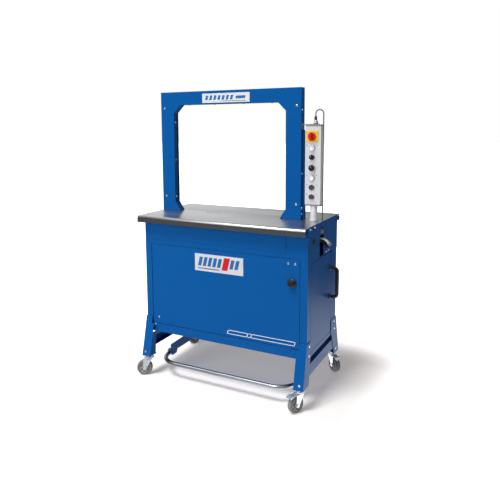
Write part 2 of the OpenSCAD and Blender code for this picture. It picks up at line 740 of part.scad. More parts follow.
// ---------- inside ----------
module strap_head() color(grey) {
    top = head_base;
    difference() {
        union() {
            span([-250, -60, top], [30, 110, top + 8]);
            span([head_x - 52, -20, top + 7], [head_x + 52, 60, table_u - 22]);
            bar_y(feed_x, feed_z, 34, 44, 130);
            bar_y(feed_x, feed_z, shaft_r, -30, 46);
            span([feed_x - 28, 50, top + 7], [feed_x + 28, 120, feed_z - 20]);
            bar_y(pinch_x, pinch_z, pinch_shaft, -20, 38);
            span([feed_x - 5, 36, feed_z - 40], [feed_x + 34, 46, table_u - 22]);
        }
        span([head_x - 43, 11, top + 20], [head_x + 43, 29, table_u + 5]);
    }
}

module anvil() color(steel) {
    difference() {
        span([head_x - 41, 12, header_z + 50], [head_x + 41, 28, table_z - 1]);
        span([head_x - 42, 17, table_z - 3], [head_x + 42, 23, table_z]);
    }
}

module roller(x, z, r, bore, y0, y1) {
    difference() {
        bar_y(x, z, r, y0, y1);
        bar_y(x, z, bore + fit, y0 - 1, y1 + 1);
    }
}
module feed_roller() color(steel) roller(feed_x, feed_z, feed_r, shaft_r, -12, 30);
module pinch_roller() color(steel) roller(pinch_x, pinch_z, pinch_r, pinch_shaft, -10, 28);

module strap_reel() color(black) {
    difference() {
        union() {
            bar_y(reel_x, reel_z, reel_r, 100, 104);
            bar_y(reel_x, reel_z, reel_r, -88, -84);
            bar_y(reel_x, reel_z, core_r, -86, 102);
        }
        bar_y(reel_x, reel_z, core_r - 6, -76, 92);
        bar_y(reel_x, reel_z, reel_shaft + fit, -100, 110);
        for (a = [0:60:300]) translate([reel_x + 130 * cos(a), 0, reel_z + 130 * sin(a)]) bar_y(0, 0, 26, -100, 110);
    }
}

module strap_coil() color([0.9, 0.9, 0.85]) {
    difference() {
        bar_y(reel_x, reel_z, coil_r, -83.5, 99.5);
        bar_y(reel_x, reel_z, core_r + 0.1, -90, 110);
    }
}

module electric_box() color(grey) {
    difference() {
        span([-360, 100, 320], [-180, 205, 600]);
        span([-358, 102, 322], [-182, 206, 598]);
    }
    bar_y(290, 300, 11.5, cab_y1 - 10, cab_y1 + 8);
    bar_y(290, 300, 16, cab_y1 - 12, cab_y1 - 2.5);
}

cabinet_frame();
inner_brackets();
fixed_panels();
right_panel();
front_door();
door_pins();
door_knob();
side_door();
side_handle();
door_label();
door_screws();
frame_screws();
table_front();
table_rear();
arch_front_cover();
arch_rear_cover();
strap_channel();
arch_bolts();
arch_label();
control_post();
control_box();
control_front();
control_caps();
box_bracket();
switch_plate();
switch_handle();
white_button_upper();
white_button_lower();
dark_button_upper();
dark_button_lower();
button_bezels();
mode_selector();
speed_knob();
cable_gland();
control_cable();
left_trestle();
right_trestle();
caster_heads();
fork_fl();
fork_fr();
fork_rl();
fork_rr();
wheel_fl();
wheel_fr();
wheel_rl();
wheel_rr();
brake_fr();
brake_rr();
foot_bar();
foot_levers();
foot_clamps();
strap_guide();
guide_roller();
strap_head();
anvil();
feed_roller();
pinch_roller();
strap_reel();
strap_coil();
electric_box();
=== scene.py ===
# %% [markdown]
# # An arch strapping machine on casters
# The machine throws a loop of plastic strap round a parcel on its table, pulls it tight, welds it and
# cuts it off. Its body is folded sheet steel under a powder coat, the table is stainless steel, and a
# foot bar starts the cycle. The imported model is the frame: it has every part at its true size and on
# its real joint. This lesson gives those parts their finishes and makes the small parts again as
# fine surfaces worked out with numpy.

# %% Load the frame
import json
import math

import bmesh
import bpy
import numpy as np
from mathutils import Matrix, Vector


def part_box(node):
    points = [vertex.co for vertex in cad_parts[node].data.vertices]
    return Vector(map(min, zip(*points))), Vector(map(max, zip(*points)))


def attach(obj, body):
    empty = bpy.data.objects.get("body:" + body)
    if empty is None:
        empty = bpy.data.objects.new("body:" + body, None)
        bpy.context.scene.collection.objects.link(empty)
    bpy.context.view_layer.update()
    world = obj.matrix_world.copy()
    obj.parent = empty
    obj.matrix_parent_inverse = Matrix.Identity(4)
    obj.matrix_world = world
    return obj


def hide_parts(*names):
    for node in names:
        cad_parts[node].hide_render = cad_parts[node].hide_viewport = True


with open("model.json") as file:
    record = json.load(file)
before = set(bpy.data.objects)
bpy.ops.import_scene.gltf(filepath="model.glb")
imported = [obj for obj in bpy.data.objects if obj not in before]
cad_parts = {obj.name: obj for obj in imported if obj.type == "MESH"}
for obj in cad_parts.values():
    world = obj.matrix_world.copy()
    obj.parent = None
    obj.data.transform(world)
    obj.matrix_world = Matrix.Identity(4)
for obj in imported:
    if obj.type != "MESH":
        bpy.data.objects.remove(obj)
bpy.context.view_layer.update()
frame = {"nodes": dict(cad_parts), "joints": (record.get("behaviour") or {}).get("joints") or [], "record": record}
nodes = frame["nodes"]
pivot = {j["name"]: np.array(j["pos_m"]) for j in frame["joints"] if "pos_m" in j}

# %% [markdown]
# ## Camera and studio
# The machine stands in a white studio. A wide soft lamp overhead and to the left lights it, with a soft
# box in front, so the right side falls into shade. The camera sees pure white behind the machine, but
# satin steel would turn milky if it mirrored white all round. A real studio hangs black cloth there:
# here the world and the floor ask whether a ray comes from a reflection, and are dark away from the
# ceiling, from one white card behind on the left and from a pool of light on the floor. The camera
# sees the floor lifted to white by its own glow too, except in the oblong under the machine, where the glow is
# weak: that oblong is painted shade over the soft shadow the lamps cast.

# %% Camera
camera_data = bpy.data.cameras.new("camera")
camera_data.sensor_width = 36.0
camera_data.lens = 38.19
camera_data.shift_y = -0.11
camera = bpy.data.objects.new("camera", camera_data)
camera.location = (1.1642, -2.2067, 1.1934)
camera.rotation_euler = (math.pi / 2 - 0.1229, 0.0035, 0.4639)
bpy.context.scene.collection.objects.link(camera)
bpy.context.scene.camera = camera
bpy.context.scene.view_settings.view_transform = "Standard"
print("lens", camera_data.lens, "mm at", tuple(camera.location))


# %% [markdown]
# ## Placing shader nodes
# A material is a small graph. One helper places a node, sets its own options, and fills its sockets:
# a socket given as a value gets a link, anything else is set as a number. Short helpers on top of it
# make the nodes that come back most: sums, vectors, noise, eased ranges and mixes. The last one starts
# a node group with named inputs and outputs, for an effect that several materials share.


# %% Shader helpers
def place(tree, kind, inputs=None, **options):
    """Adds one node to a tree. Sockets given as values are linked, numbers and colours are set."""
    node = tree.nodes.new(kind)
    for key, value in options.items():
        setattr(node, key, value)
    for key, value in (inputs or {}).items():
        if isinstance(value, bpy.types.NodeSocket):
            tree.links.new(value, node.inputs[key])
        else:
            node.inputs[key].default_value = value
    return node


def calc(tree, operation, a, b=0.0, clamp=False):
    """One Math node; returns its value."""
    return place(tree, "ShaderNodeMath", {0: a, 1: b}, operation=operation, use_clamp=clamp).outputs[0]


def vector(tree, operation, a, b=(0.0, 0.0, 0.0), give="Vector"):
    """One Vector Math node; returns its vector, or its single Value."""
    return place(tree, "ShaderNodeVectorMath", {0: a, 1: b}, operation=operation).outputs[give]


def split_xyz(tree, a):
    """The x, y and z of a vector."""
    return place(tree, "ShaderNodeSeparateXYZ", {0: a}).outputs


def ramp(tree, value, start, end, at_start, at_end, kind="SMOOTHSTEP"):
    """A value that goes from at_start to at_end while the input goes from start to end."""
    sockets = {0: value, 1: start, 2: end, 3: at_start, 4: at_end}
    return place(tree, "ShaderNodeMapRange", sockets, interpolation_type=kind).outputs[0]


def noise(tree, where, scale, detail=2.0):
    """Noise at some coordinates, about 0.5."""
    return place(tree, "ShaderNodeTexNoise", {"Vector": where, "Scale": scale, "Detail": detail}).outputs[0]


def light_from(tree, kind, colour, strength):
    """A Background or Emission shader."""
    return place(tree, kind, {"Color": (*colour, 1), "Strength": strength}).outputs[0]


def mix_shaders(tree, share, first, second):
    """Two shaders mixed by a share, or picked by a kind of ray."""
    return place(tree, "ShaderNodeMixShader", {0: share, 1: first, 2: second}).outputs[0]


def mix_colours(tree, share, first, second):
    """A colour from the graph mixed with a fixed one by a mask."""
    return place(tree, "ShaderNodeMix", {0: share, 6: first, 7: (*second, 1)}, data_type="RGBA").outputs[2]


def shader_group(name, inputs, outputs):
    """An empty shader group with float inputs (and a Vector), and its input and output sockets."""
    group = bpy.data.node_groups.new(name, "ShaderNodeTree")
    group.interface.new_socket(name="Vector", in_out="INPUT", socket_type="NodeSocketVector")
    for label, value in inputs.items():
        socket = group.interface.new_socket(name=label, in_out="INPUT", socket_type="NodeSocketFloat")
        socket.default_value = value
    for label in outputs:
        group.interface.new_socket(name=label, in_out="OUTPUT", socket_type="NodeSocketFloat")
    return group, group.nodes.new("NodeGroupInput").outputs, group.nodes.new("NodeGroupOutput").inputs


# %% World
CARD = (-0.76, 0.62, 0.22)  # the way to the white card
SOFT_BOX = (-0.25, -0.78, 0.58)  # the way to the soft box
world = bpy.data.worlds.new("studio")
world.use_nodes = True
sky = world.node_tree
sky.nodes.clear()
rays = place(sky, "ShaderNodeLightPath").outputs
way = place(sky, "ShaderNodeTexCoord").outputs["Generated"]
card = ramp(sky, vector(sky, "DOT_PRODUCT", way, CARD, "Value"), 0.78, 0.98, 0.0, 0.85)
front = ramp(sky, vector(sky, "DOT_PRODUCT", way, SOFT_BOX, "Value"), 0.80, 0.97, 0.0, 1.3)
side, _, rise = split_xyz(sky, way)
ceiling = ramp(sky, rise, 0.25, 0.9, 0.09, 0.75)
fill = ramp(sky, side, -1.0, 1.0, 0.46, 0.08, "LINEAR")
mirrored = calc(sky, "ADD", calc(sky, "ADD", card, front), ceiling)
in_gloss = light_from(sky, "ShaderNodeBackground", (0.95, 0.97, 1.0), mirrored)
around = light_from(sky, "ShaderNodeBackground", (1.0, 0.93, 0.88), fill)
seen = light_from(sky, "ShaderNodeBackground", (1.0, 1.0, 1.0), 1.0)
unseen = mix_shaders(sky, rays["Is Glossy Ray"], around, in_gloss)
chosen = mix_shaders(sky, rays["Is Camera Ray"], unseen, seen)
place(sky, "ShaderNodeOutputWorld", {"Surface": chosen})
bpy.context.scene.world = world
print("world:", len(sky.nodes), "nodes, white to the camera and dark with a few lights to a mirror")

# %% Floor
POOL = (0.75, 0.15, 0.0)  # middle of the lit pool that polished parts mirror
SHADED, SHADED_HALF = (0.05, 0.08, 0.0), (0.48, 0.27, 0.0)  # the oblong under the machine
floor_paint = bpy.data.materials.new("studio_floor")
floor_paint.use_nodes = True
ground = floor_paint.node_tree
ground.nodes.clear()
rays = place(ground, "ShaderNodeLightPath").outputs
where = place(ground, "ShaderNodeTexCoord").outputs["Object"]
pool = ramp(ground, vector(ground, "DISTANCE", where, POOL, "Value"), 0.3, 1.8, 1.9, 0.12)
from_middle = vector(ground, "ABSOLUTE", vector(ground, "SUBTRACT", where, SHADED))
beyond = vector(ground, "MAXIMUM", vector(ground, "SUBTRACT", from_middle, SHADED_HALF))
# Painted shade: the floor's own white glow is weak inside the oblong under the machine and strong outside it, so
# the floor there is darker whatever the lamps do.
lift_with_painted_shade = ramp(ground, vector(ground, "LENGTH", beyond, give="Value"), 0.02, 0.36, 0.19, 0.85)
matt = place(ground, "ShaderNodeBsdfDiffuse", {"Color": (0.80, 0.77, 0.76, 1)}).outputs[0]
lift = light_from(ground, "ShaderNodeEmission", (1.0, 0.99, 0.99), lift_with_painted_shade)
lifted = place(ground, "ShaderNodeAddShader", {0: matt, 1: lift}).outputs[0]
glow = light_from(ground, "ShaderNodeEmission", (0.98, 0.98, 1.0), pool)
unseen = mix_shaders(ground, rays["Is Glossy Ray"], matt, glow)
chosen = mix_shaders(ground, rays["Is Camera Ray"], unseen, lifted)
place(ground, "ShaderNodeOutputMaterial", {"Surface": chosen})

FLOOR_HALF = 40.0
floor_mesh = bpy.data.meshes.new("floor")
corners = np.array([(-1, -1, 0), (1, -1, 0), (1, 1, 0), (-1, 1, 0)]) * FLOOR_HALF
floor_mesh.from_pydata(corners.tolist(), [], [(0, 1, 2, 3)])
floor_mesh.materials.append(floor_paint)
floor = bpy.data.objects.new("floor", floor_mesh)
bpy.context.scene.collection.objects.link(floor)
print("floor:", 2 * FLOOR_HALF, "m across, lifted to white outside the oblong")


# %% Lamps
def lamp(name, kind, from_m, aim_m, strength, **options):
    """A lamp at a place, turned so that it shines along the line to its aim."""
    data = bpy.data.lights.new(name, kind)
    data.energy = strength
    for key, value in options.items():
        setattr(data, key, value)
    light = bpy.data.objects.new(name, data)
    light.location = from_m
    light.rotation_euler = (Vector(aim_m) - Vector(from_m)).to_track_quat("-Z", "Y").to_euler()
    bpy.context.scene.collection.objects.link(light)
    return light


lamp("overhead", "SUN", (-0.18, -0.46, 1.0), (0, 0, 0), 2.5, angle=math.radians(18))
lamp("front_box", "AREA", (-1.9, -3.4, 1.9), (0, 0, 0.75), 62, size=1.8).visible_glossy = False
print("lamps:", [light.name for light in bpy.data.lights])

# %% [markdown]
# ## Effects that several finishes share
# * *Grain* is fine noise for the relief of paint, plastic and rubber, with a slow change of tone.
# * *Brushed lines* are noise stretched along one direction, as abrasive belts leave them on steel.
# * *Rubbed edges* compare the true normal with a rounded one: they differ only near an edge. The paler colour
#   there is partly real wear and partly a painted highlight along the edge.
# * *Settled dust* is a mask that grows towards the floor and on faces that look up.
# Each is a group with its own inputs, so every finish can ask for it at its own scale.


# %% Grain
grain, take, give = shader_group("grain", {"Scale": 800.0, "Contrast": 0.1}, ["Height", "Tone"])
slow = noise(grain, take["Vector"], calc(grain, "MULTIPLY", take["Scale"], 0.012), 4.0)
swing = calc(grain, "MULTIPLY", calc(grain, "SUBTRACT", slow, 0.5), take["Contrast"])
grain.links.new(noise(grain, take["Vector"], take["Scale"], 3.0), give["Height"])
grain.links.new(calc(grain, "ADD", swing, 1.0), give["Tone"])

# %% Brushed lines
brushed, take, give = shader_group("brushed_lines", {"Along": 6.0, "Across": 900.0}, ["Height", "Tone"])
scales = place(brushed, "ShaderNodeCombineXYZ", {0: take["Along"], 1: take["Across"], 2: take["Across"]})
drawn = vector(brushed, "MULTIPLY", take["Vector"], scales.outputs[0])
broad = vector(brushed, "MULTIPLY", drawn, (0.3, 0.06, 0.06))
brushed.links.new(noise(brushed, drawn, 1.0), give["Height"])
brushed.links.new(noise(brushed, broad, 1.0, 3.0), give["Tone"])

# %% Rubbed edges, partly a painted edge highlight
edge_wear_and_highlight, take, give = shader_group("worn_and_highlit_edges", {"Radius": 0.001, "Patchy": 300.0}, ["Mask"])
true_normal = place(edge_wear_and_highlight, "ShaderNodeNewGeometry").outputs["Normal"]
rounded = place(edge_wear_and_highlight, "ShaderNodeBevel", {"Radius": take["Radius"]}, samples=4).outputs[0]
match = vector(edge_wear_and_highlight, "DOT_PRODUCT", true_normal, rounded, "Value")
turned_away = calc(edge_wear_and_highlight, "MULTIPLY", calc(edge_wear_and_highlight, "SUBTRACT", 1.0, match), 5.0, True)
patches = noise(edge_wear_and_highlight, take["Vector"], take["Patchy"])
edge_wear_and_highlight.links.new(calc(edge_wear_and_highlight, "MULTIPLY", turned_away, patches), give["Mask"])

# %% Settled dust
dust, take, give = shader_group("settled_dust", {"Top": 0.15, "Scale": 60.0}, ["Mask"])
height = split_xyz(dust, take["Vector"])[2]
low_down = calc(dust, "SUBTRACT", 1.0, calc(dust, "DIVIDE", height, take["Top"]), True)
up = split_xyz(dust, place(dust, "ShaderNodeNewGeometry").outputs["Normal"])[2]
facing_up = calc(dust, "ADD", calc(dust, "MULTIPLY", up, 0.4, True), 0.6)
clumps = noise(dust, take["Vector"], take["Scale"], 5.0)
settled = calc(dust, "MULTIPLY", calc(dust, "MULTIPLY", low_down, facing_up), clumps, True)
dust.links.new(settled, give["Mask"])
print("shader groups:", [g.name for g in bpy.data.node_groups])

# %% [markdown]
# ## Finishes
# A finish is a Principled shader fed by those groups. One function wires the common pattern: a base
# colour with a slow tone change, grain in the roughness and the relief, paler edges that are partly wear
# and partly a painted highlight, and dust low down. Sockets that are the same all over the surface are plain
# numbers on the shader.


# %% A finish
DUST = (0.42, 0.39, 0.35)
MICRON = 1e-6


def finish(
    name,
    colour,
    roughness,
    metallic=0.0,
    contrast=0.10,
    scale=1500.0,
    relief=10,
    lines=None,
    worn_and_highlit=None,
    dusty=0.0,
    sockets=None,
):
    """One material. relief is the depth of the grain in microns, lines = (along, across) brushes it,
    the edge pair (radius, colour) makes its edges paler, partly as wear and partly as a painted highlight, and
    dusty is the share of dust near the floor."""
    material = bpy.data.materials.new(name)
    material.use_nodes = True
    tree = material.node_tree
    tree.nodes.clear()
    where = place(tree, "ShaderNodeTexCoord").outputs["Object"]

    def effect(group, **values):
        return place(tree, "ShaderNodeGroup", {"Vector": where, **values}, node_tree=group).outputs

    spots = effect(grain, Scale=scale, Contrast=contrast)
    tone, height = spots["Tone"], spots["Height"]
    if lines:
        strokes = effect(brushed, Along=lines[0], Across=lines[1])
        bands = calc(tree, "ADD", calc(tree, "MULTIPLY", strokes["Tone"], 0.5), 0.75)
        tone, height = calc(tree, "MULTIPLY", tone, bands), strokes["Height"]
    paint = place(tree, "ShaderNodeVectorMath", {0: colour, "Scale": tone}, operation="SCALE").outputs[0]
    # Paler edges: partly wear on the coat, partly a painted highlight along each edge.
    if worn_and_highlit:
        paint = mix_colours(tree, effect(edge_wear_and_highlight, Radius=worn_and_highlit[0])["Mask"], paint, worn_and_highlit[1])
    if dusty:
        share = calc(tree, "MULTIPLY", effect(dust)["Mask"], dusty)
        paint = mix_colours(tree, share, paint, DUST)
    rough = calc(tree, "MULTIPLY", calc(tree, "ADD", calc(tree, "MULTIPLY", height, 0.3), 0.85), roughness)
    bump = place(tree, "ShaderNodeBump", {"Height": height, "Strength": 1.0, "Distance": relief * MICRON})
    look = {"Base Color": paint, "Roughness": rough, "Metallic": metallic, "Normal": bump.outputs[0]}
    shader = place(tree, "ShaderNodeBsdfPrincipled", {**look, **(sockets or {})})
    place(tree, "ShaderNodeOutputMaterial", {"Surface": shader.outputs[0]})
    return material


# %% [markdown]
# ## The machine's finishes
# Powder coat is a plastic film baked on steel: satin, very slightly dimpled like orange peel, thin and
# paler on sharp edges, where the pale colour is also a painted highlight. The table is belt-brushed along its
# length. Screws, forks and pedals are zinc plated, the foot bar is a drawn galvanised tube, the control station is
# anodised aluminium, and the knobs are moulded plastic with a fine spark-eroded grain.

# %% Materials by slot
# Pale blue for the edges: worn-thin coat and a painted highlight.
WORN_AND_HIGHLIT_BLUE = (0.10, 0.24, 0.52)
finishes = {
    "powder_blue": finish(
        "powder_coat", (0.0, 0.084, 0.31), 0.36, scale=420, relief=70,
        worn_and_highlit=(0.0012, WORN_AND_HIGHLIT_BLUE), dusty=0.10, sockets={"Specular IOR Level": 0.10},
    ),
    "stainless": finish(
        "brushed_stainless", (0.52, 0.517, 0.512), 0.29, 1.0, contrast=0.16, scale=500, relief=20,
        lines=(5, 1100), sockets={"Anisotropic": 0.45},
    ),
    "zinc": finish(
        "bright_zinc", (0.74, 0.78, 0.82), 0.26, 0.78, contrast=0.35, scale=1200, relief=20,
        worn_and_highlit=(0.0006, (0.9, 0.92, 0.94)), dusty=0.12,
    ),
    "black_plastic": finish(
        "black_moulding", (0.012, 0.012, 0.013), 0.42, contrast=0.3, scale=2600, relief=30,
    ),
    "grey_plastic": finish(
        "grey_moulding", (0.24, 0.245, 0.25), 0.45, contrast=0.15, scale=2400, relief=30,
    ),
    "white_plastic": finish("white_moulding", (0.80, 0.81, 0.82), 0.28, contrast=0.05, scale=2400),
    "dark_button": finish("slate_moulding", (0.045, 0.052, 0.058), 0.38, contrast=0.2, scale=2400),
    "yellow_plate": finish("yellow_plate", (0.86, 0.55, 0.02), 0.32, contrast=0.08),
    "red_plastic": finish("red_moulding", (0.62, 0.012, 0.014), 0.30, scale=2000),
    "anodised": finish(
        "anodised_aluminium", (0.66, 0.68, 0.715), 0.38, 0.15, scale=1800, relief=20,
        worn_and_highlit=(0.0008, (0.85, 0.86, 0.88)),
    ),
    "tyre_grey": finish(
        "grey_tyre", (0.145, 0.147, 0.155), 0.60, contrast=0.35, scale=900, relief=100, dusty=0.45,
    ),
    "label_silver": finish("silver_film", (0.74, 0.77, 0.80), 0.30, 0.25, contrast=0.06),
    "strap": finish("wound_strap", (0.70, 0.67, 0.58), 0.36, contrast=0.12, relief=20),
    "cable": finish("cable_jacket", (0.23, 0.235, 0.24), 0.50, contrast=0.12, relief=20),
}
SHEEN_BLACK = finish("black_rubber", (0.018, 0.018, 0.019), 0.55, contrast=0.3, scale=1600, relief=50)
GALVANISED = finish(
    "galvanised_tube", (0.29, 0.31, 0.335), 0.27, 1.0, contrast=0.5, scale=700, relief=20,
    lines=(9, 700), dusty=0.10,
)
WHEEL_CORE = finish("wheel_core", (0.40, 0.41, 0.43), 0.5, contrast=0.15, scale=1800, relief=30, dusty=0.35)
BLUE_INK = finish("blue_ink", (0.012, 0.13, 0.40), 0.35)
RED_INK = finish("red_ink", (0.56, 0.006, 0.010), 0.35)
WHITE_INK = finish("white_ink", (0.78, 0.81, 0.84), 0.40)
GREY_INK = finish("grey_ink", (0.07, 0.075, 0.085), 0.45)
print("finishes:", len(bpy.data.materials))

# %% [markdown]
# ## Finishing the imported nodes
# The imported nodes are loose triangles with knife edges. Real sheet metal is folded over a radius, and
# a thin highlight runs along every edge. A stack of modifiers gives that without touching the mesh:
# Weld joins the triangles, Decimate in planar mode turns them back into flat faces, and Bevel rounds
# what is left sharp.

# %% Weld, flatten and round each node
slot_of = {row["node"]: row["material_slot"] for row in frame["record"]["subparts"]}
SPECIAL = {"foot_bar": GALVANISED}
ROUNDING = {
    "cabinet_frame": 1.2, "fixed_panels": 0.8, "right_panel": 0.9, "front_door": 1.2, "side_door": 1.2,
    "arch_front_cover": 1.0, "arch_rear_cover": 1.0, "left_trestle": 1.2, "right_trestle": 1.2,
    "foot_levers": 0.8, "foot_clamps": 0.8, "table_front": 0.6, "table_rear": 0.6, "control_front": 0.5,
    "control_post": 0.5, "box_bracket": 0.5, "strap_channel": 0.4, "strap_head": 1.0,
    "electric_box": 0.8, "strap_reel": 0.8, "feed_roller": 0.6, "pinch_roller": 0.6, "anvil": 0.4,
    "door_label": 0.3, "arch_label": 0.3, "caster_heads": 0.5, "inner_brackets": 0.8,
}  # width of each node's folded edges, in mm
for name, node in nodes.items():
    node.data.materials.clear()
    node.data.materials.append(SPECIAL.get(name) or finishes[slot_of[name]])
    if name in ROUNDING:
        weld = node.modifiers.new("weld", "WELD")
        weld.merge_threshold = 1e-6
        flat = node.modifiers.new("flat faces", "DECIMATE")
        flat.decimate_type, flat.angle_limit = "DISSOLVE", math.radians(0.5)
        soft = node.modifiers.new("folded edges", "BEVEL")
        soft.width, soft.segments, soft.limit_method = ROUNDING[name] / 1000, 2, "ANGLE"
        soft.angle_limit, soft.harden_normals, soft.miter_outer = math.radians(35), True, "MITER_ARC"
print("rounded", len(ROUNDING), "nodes")

# %% [markdown]
# ## Surfaces from numbers
# A new piece is one or more *skins*. A skin is a grid of points: a profile turned round an axis, a
# section carried along a path, or an outline given thickness. Each is worked out for the whole grid at
# once. The piece then gets its place, its material and the body that carries it.


# %% Corners and outlines
def eased(corners, radius, steps=5, closed=False):
    """Corners of a path rounded off: each becomes the curve (1-t)^2 a + 2t(1-t) b + t^2 c, where b is
    the corner and a and c lie `radius` before and after it, or less on a short side."""
    p = np.asarray(corners, float)
    if closed:
        p = np.concatenate([p[-1:], p, p[:1]])
    back, ahead = p[:-2] - p[1:-1], p[2:] - p[1:-1]
    room_back, room_ahead = np.linalg.norm(back, axis=1), np.linalg.norm(ahead, axis=1)
    cut = np.minimum(radius, 0.48 * np.minimum(room_back, room_ahead))[:, None]
    a = p[1:-1] + back / room_back[:, None] * cut
    c = p[1:-1] + ahead / room_ahead[:, None] * cut
    t = np.linspace(0, 1, steps)[None, :, None]
    curve = (1 - t) ** 2 * a[:, None] + 2 * t * (1 - t) * p[1:-1][:, None] + t**2 * c[:, None]
    curve = curve.reshape(-1, p.shape[1])
    return curve if closed else np.concatenate([p[:1], curve, p[-1:]])


def circle(radius, sides=24):
    """(r cos a, r sin a) for evenly spaced a."""
    a = np.arange(sides) * 2 * np.pi / sides
    return radius * np.stack([np.cos(a), np.sin(a)], 1)


def rectangle(width, height, radius, steps=4):
    """A rectangle about the origin with eased corners, anticlockwise."""
    corners = np.array([(-1, -1), (1, -1), (1, 1), (-1, 1)]) * [width / 2, height / 2]
    return eased(corners, radius, steps, closed=True)


# %% Skins
def skin(grid, close_rows=False, close_columns=False, caps=False, mark=0):
    """Quads over a (rows, columns, 3) grid: corner i, j meets i+1, j+1. A closed way wraps round, and
    caps close the first and last row with one face each. mark picks the piece's material."""
    rows, columns = grid.shape[:2]
    index = np.arange(rows * columns).reshape(rows, columns)
    wide = np.concatenate([index, index[:, :1]], 1) if close_columns else index
    wide = np.concatenate([wide, wide[:1]], 0) if close_rows else wide
    quads = np.stack([wide[:-1, :-1], wide[:-1, 1:], wide[1:, 1:], wide[1:, :-1]], -1).reshape(-1, 4)
    blocks = [quads] + ([index[:1, ::-1], index[-1:]] if caps else [])
    return [grid.reshape(-1, 3), blocks, mark]


def turned(profile, steps=48, lobes=0, depth=0.0, mark=0):
    """A profile of (radius, height) pairs turned once round z. With lobes the radius is multiplied by
    1 - depth (1 - cos(lobes a)) / 2, and depth may be one number for each pair."""
    p = np.asarray(profile, float)
    a = np.arange(steps) * 2 * np.pi / steps
    wave = 1 - np.broadcast_to(depth, len(p))[:, None] * (1 - np.cos(lobes * a)) / 2
    radius = p[:, :1] * wave
    height = np.repeat(p[:, 1:], steps, 1)
    grid = np.stack([radius * np.cos(a), radius * np.sin(a), height], -1)
    return skin(grid, close_columns=True, mark=mark)


def carried(section, path, normal, closed=False, mark=0):
    """A closed flat section carried along a path in one plane:
    path + s_x (direction x normal) + s_y normal."""
    path, normal = np.asarray(path, float), np.asarray(normal, float)
    ahead = np.roll(path, -1, 0) - np.roll(path, 1, 0) if closed else np.gradient(path, axis=0)
    ahead /= np.linalg.norm(ahead, axis=1, keepdims=True)
    side = np.cross(ahead, normal)
    grid = path[:, None] + section[None, :, :1] * side[:, None] + section[None, :, 1:] * normal
    return skin(grid, close_rows=closed, close_columns=True, caps=not closed, mark=mark)


def slab(outline, low, high, edge=0.0, mark=0):
    """A closed outline in x, y given thickness from low to high along z. With an edge, its first and
    last rows are drawn in towards the middle by that much, which rounds the rim."""
    o = np.asarray(outline, float)
    middle = (o.max(0) + o.min(0)) / 2
    inward = o - np.sign(o - middle) * edge
    rows = [(o, low), (o, high)]
    if edge:
        rows = [(inward, low), (o, low + edge), (o, high - edge), (inward, high)]
    grid = np.stack([np.column_stack([r, np.full(len(o), z)]) for r, z in rows])
    return skin(grid, close_columns=True, caps=True, mark=mark)


def facing(axis, up=(0, 0, 1)):
    """A 3x3 turn with columns (up x axis, axis x that, axis): local z points along the axis."""
    z = np.array(axis, float) / np.linalg.norm(axis)
    x = np.cross(up, z)
    x = np.array([1.0, 0, 0]) if np.linalg.norm(x) < 1e-6 else x / np.linalg.norm(x)
    return np.stack([x, np.cross(z, x), z], 1)


def at(skins, origin, turn=np.eye(3)):
    """Skins turned, then moved to an origin: p -> turn p + origin."""
    return [[points @ np.asarray(turn).T + origin, blocks, mark] for points, blocks, mark in skins]


# %% From skins to a piece
def piece(name, skins, body, slot, stands_for=(), materials=None, sharp=40, wall=0.0, bevel=0.0):
    """One mesh object from its skins: doubles merged, normals outward, edges over `sharp` degrees kept
    crisp, an optional wall thickness and rounded edges, riding on a body of the frame. It has the
    finish of its slot, or the given materials, which the skins' marks count."""
    starts = np.cumsum([0] + [len(points) for points, _, _ in skins])
    faces = [row for s, (_, blocks, _) in zip(starts, skins) for b in blocks for row in (b + s).tolist()]
    marks = [mark for _, blocks, mark in skins for b in blocks for _ in range(len(b))]
    mesh = bpy.data.meshes.new(name)
    mesh.from_pydata(np.concatenate([points for points, _, _ in skins]).tolist(), [], faces)
    mesh.polygons.foreach_set("material_index", marks)
    work = bmesh.new()
    work.from_mesh(mesh)
    bmesh.ops.remove_doubles(work, verts=work.verts, dist=2e-6)
    bmesh.ops.dissolve_degenerate(work, edges=work.edges, dist=1e-7)
    if not wall:
        bmesh.ops.recalc_face_normals(work, faces=work.faces)
    for face in work.faces:
        face.smooth = True
    for edge in work.edges:
        edge.smooth = len(edge.link_faces) == 2 and edge.calc_face_angle(0) < math.radians(sharp)
    work.to_mesh(mesh)
    work.free()
    made = bpy.data.objects.new(name, mesh)
    bpy.context.scene.collection.objects.link(made)
    for material in materials or [finishes[slot]]:
        mesh.materials.append(material)
    if wall:
        shell = made.modifiers.new("wall", "SOLIDIFY")
        shell.thickness, shell.offset, shell.use_even_offset = wall, 0.0, True
    if bevel:
        rim = made.modifiers.new("rim", "BEVEL")
        rim.width, rim.segments, rim.limit_method, rim.harden_normals = bevel, 2, "ANGLE", True
        rim.angle_limit = math.radians(50)
    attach(made, body)
    if stands_for:
        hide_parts(*stands_for)
    print(f"{name}: {len(mesh.vertices)} points, {len(mesh.polygons)} faces on {body}")
    return made


def looped(profile):
    """A profile that comes back to its first point, so that turning it makes a closed ring."""
    return np.vstack([profile, profile[:1]])


FRONT = facing((0, -1, 0))
RIGHT = facing((1, 0, 0))

# %% [markdown]
# ## Screws and bolts
# Every panel is held by low round heads with a hexagon socket. One head is a grid: rings from the rim
# over the dome into the socket, whose wall has the radius r(a) = w / cos(a mod 60 - 30), a hexagon.
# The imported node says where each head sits, so its loose parts are found first. A head's flat side is
# the one nearer to the part it is screwed to.


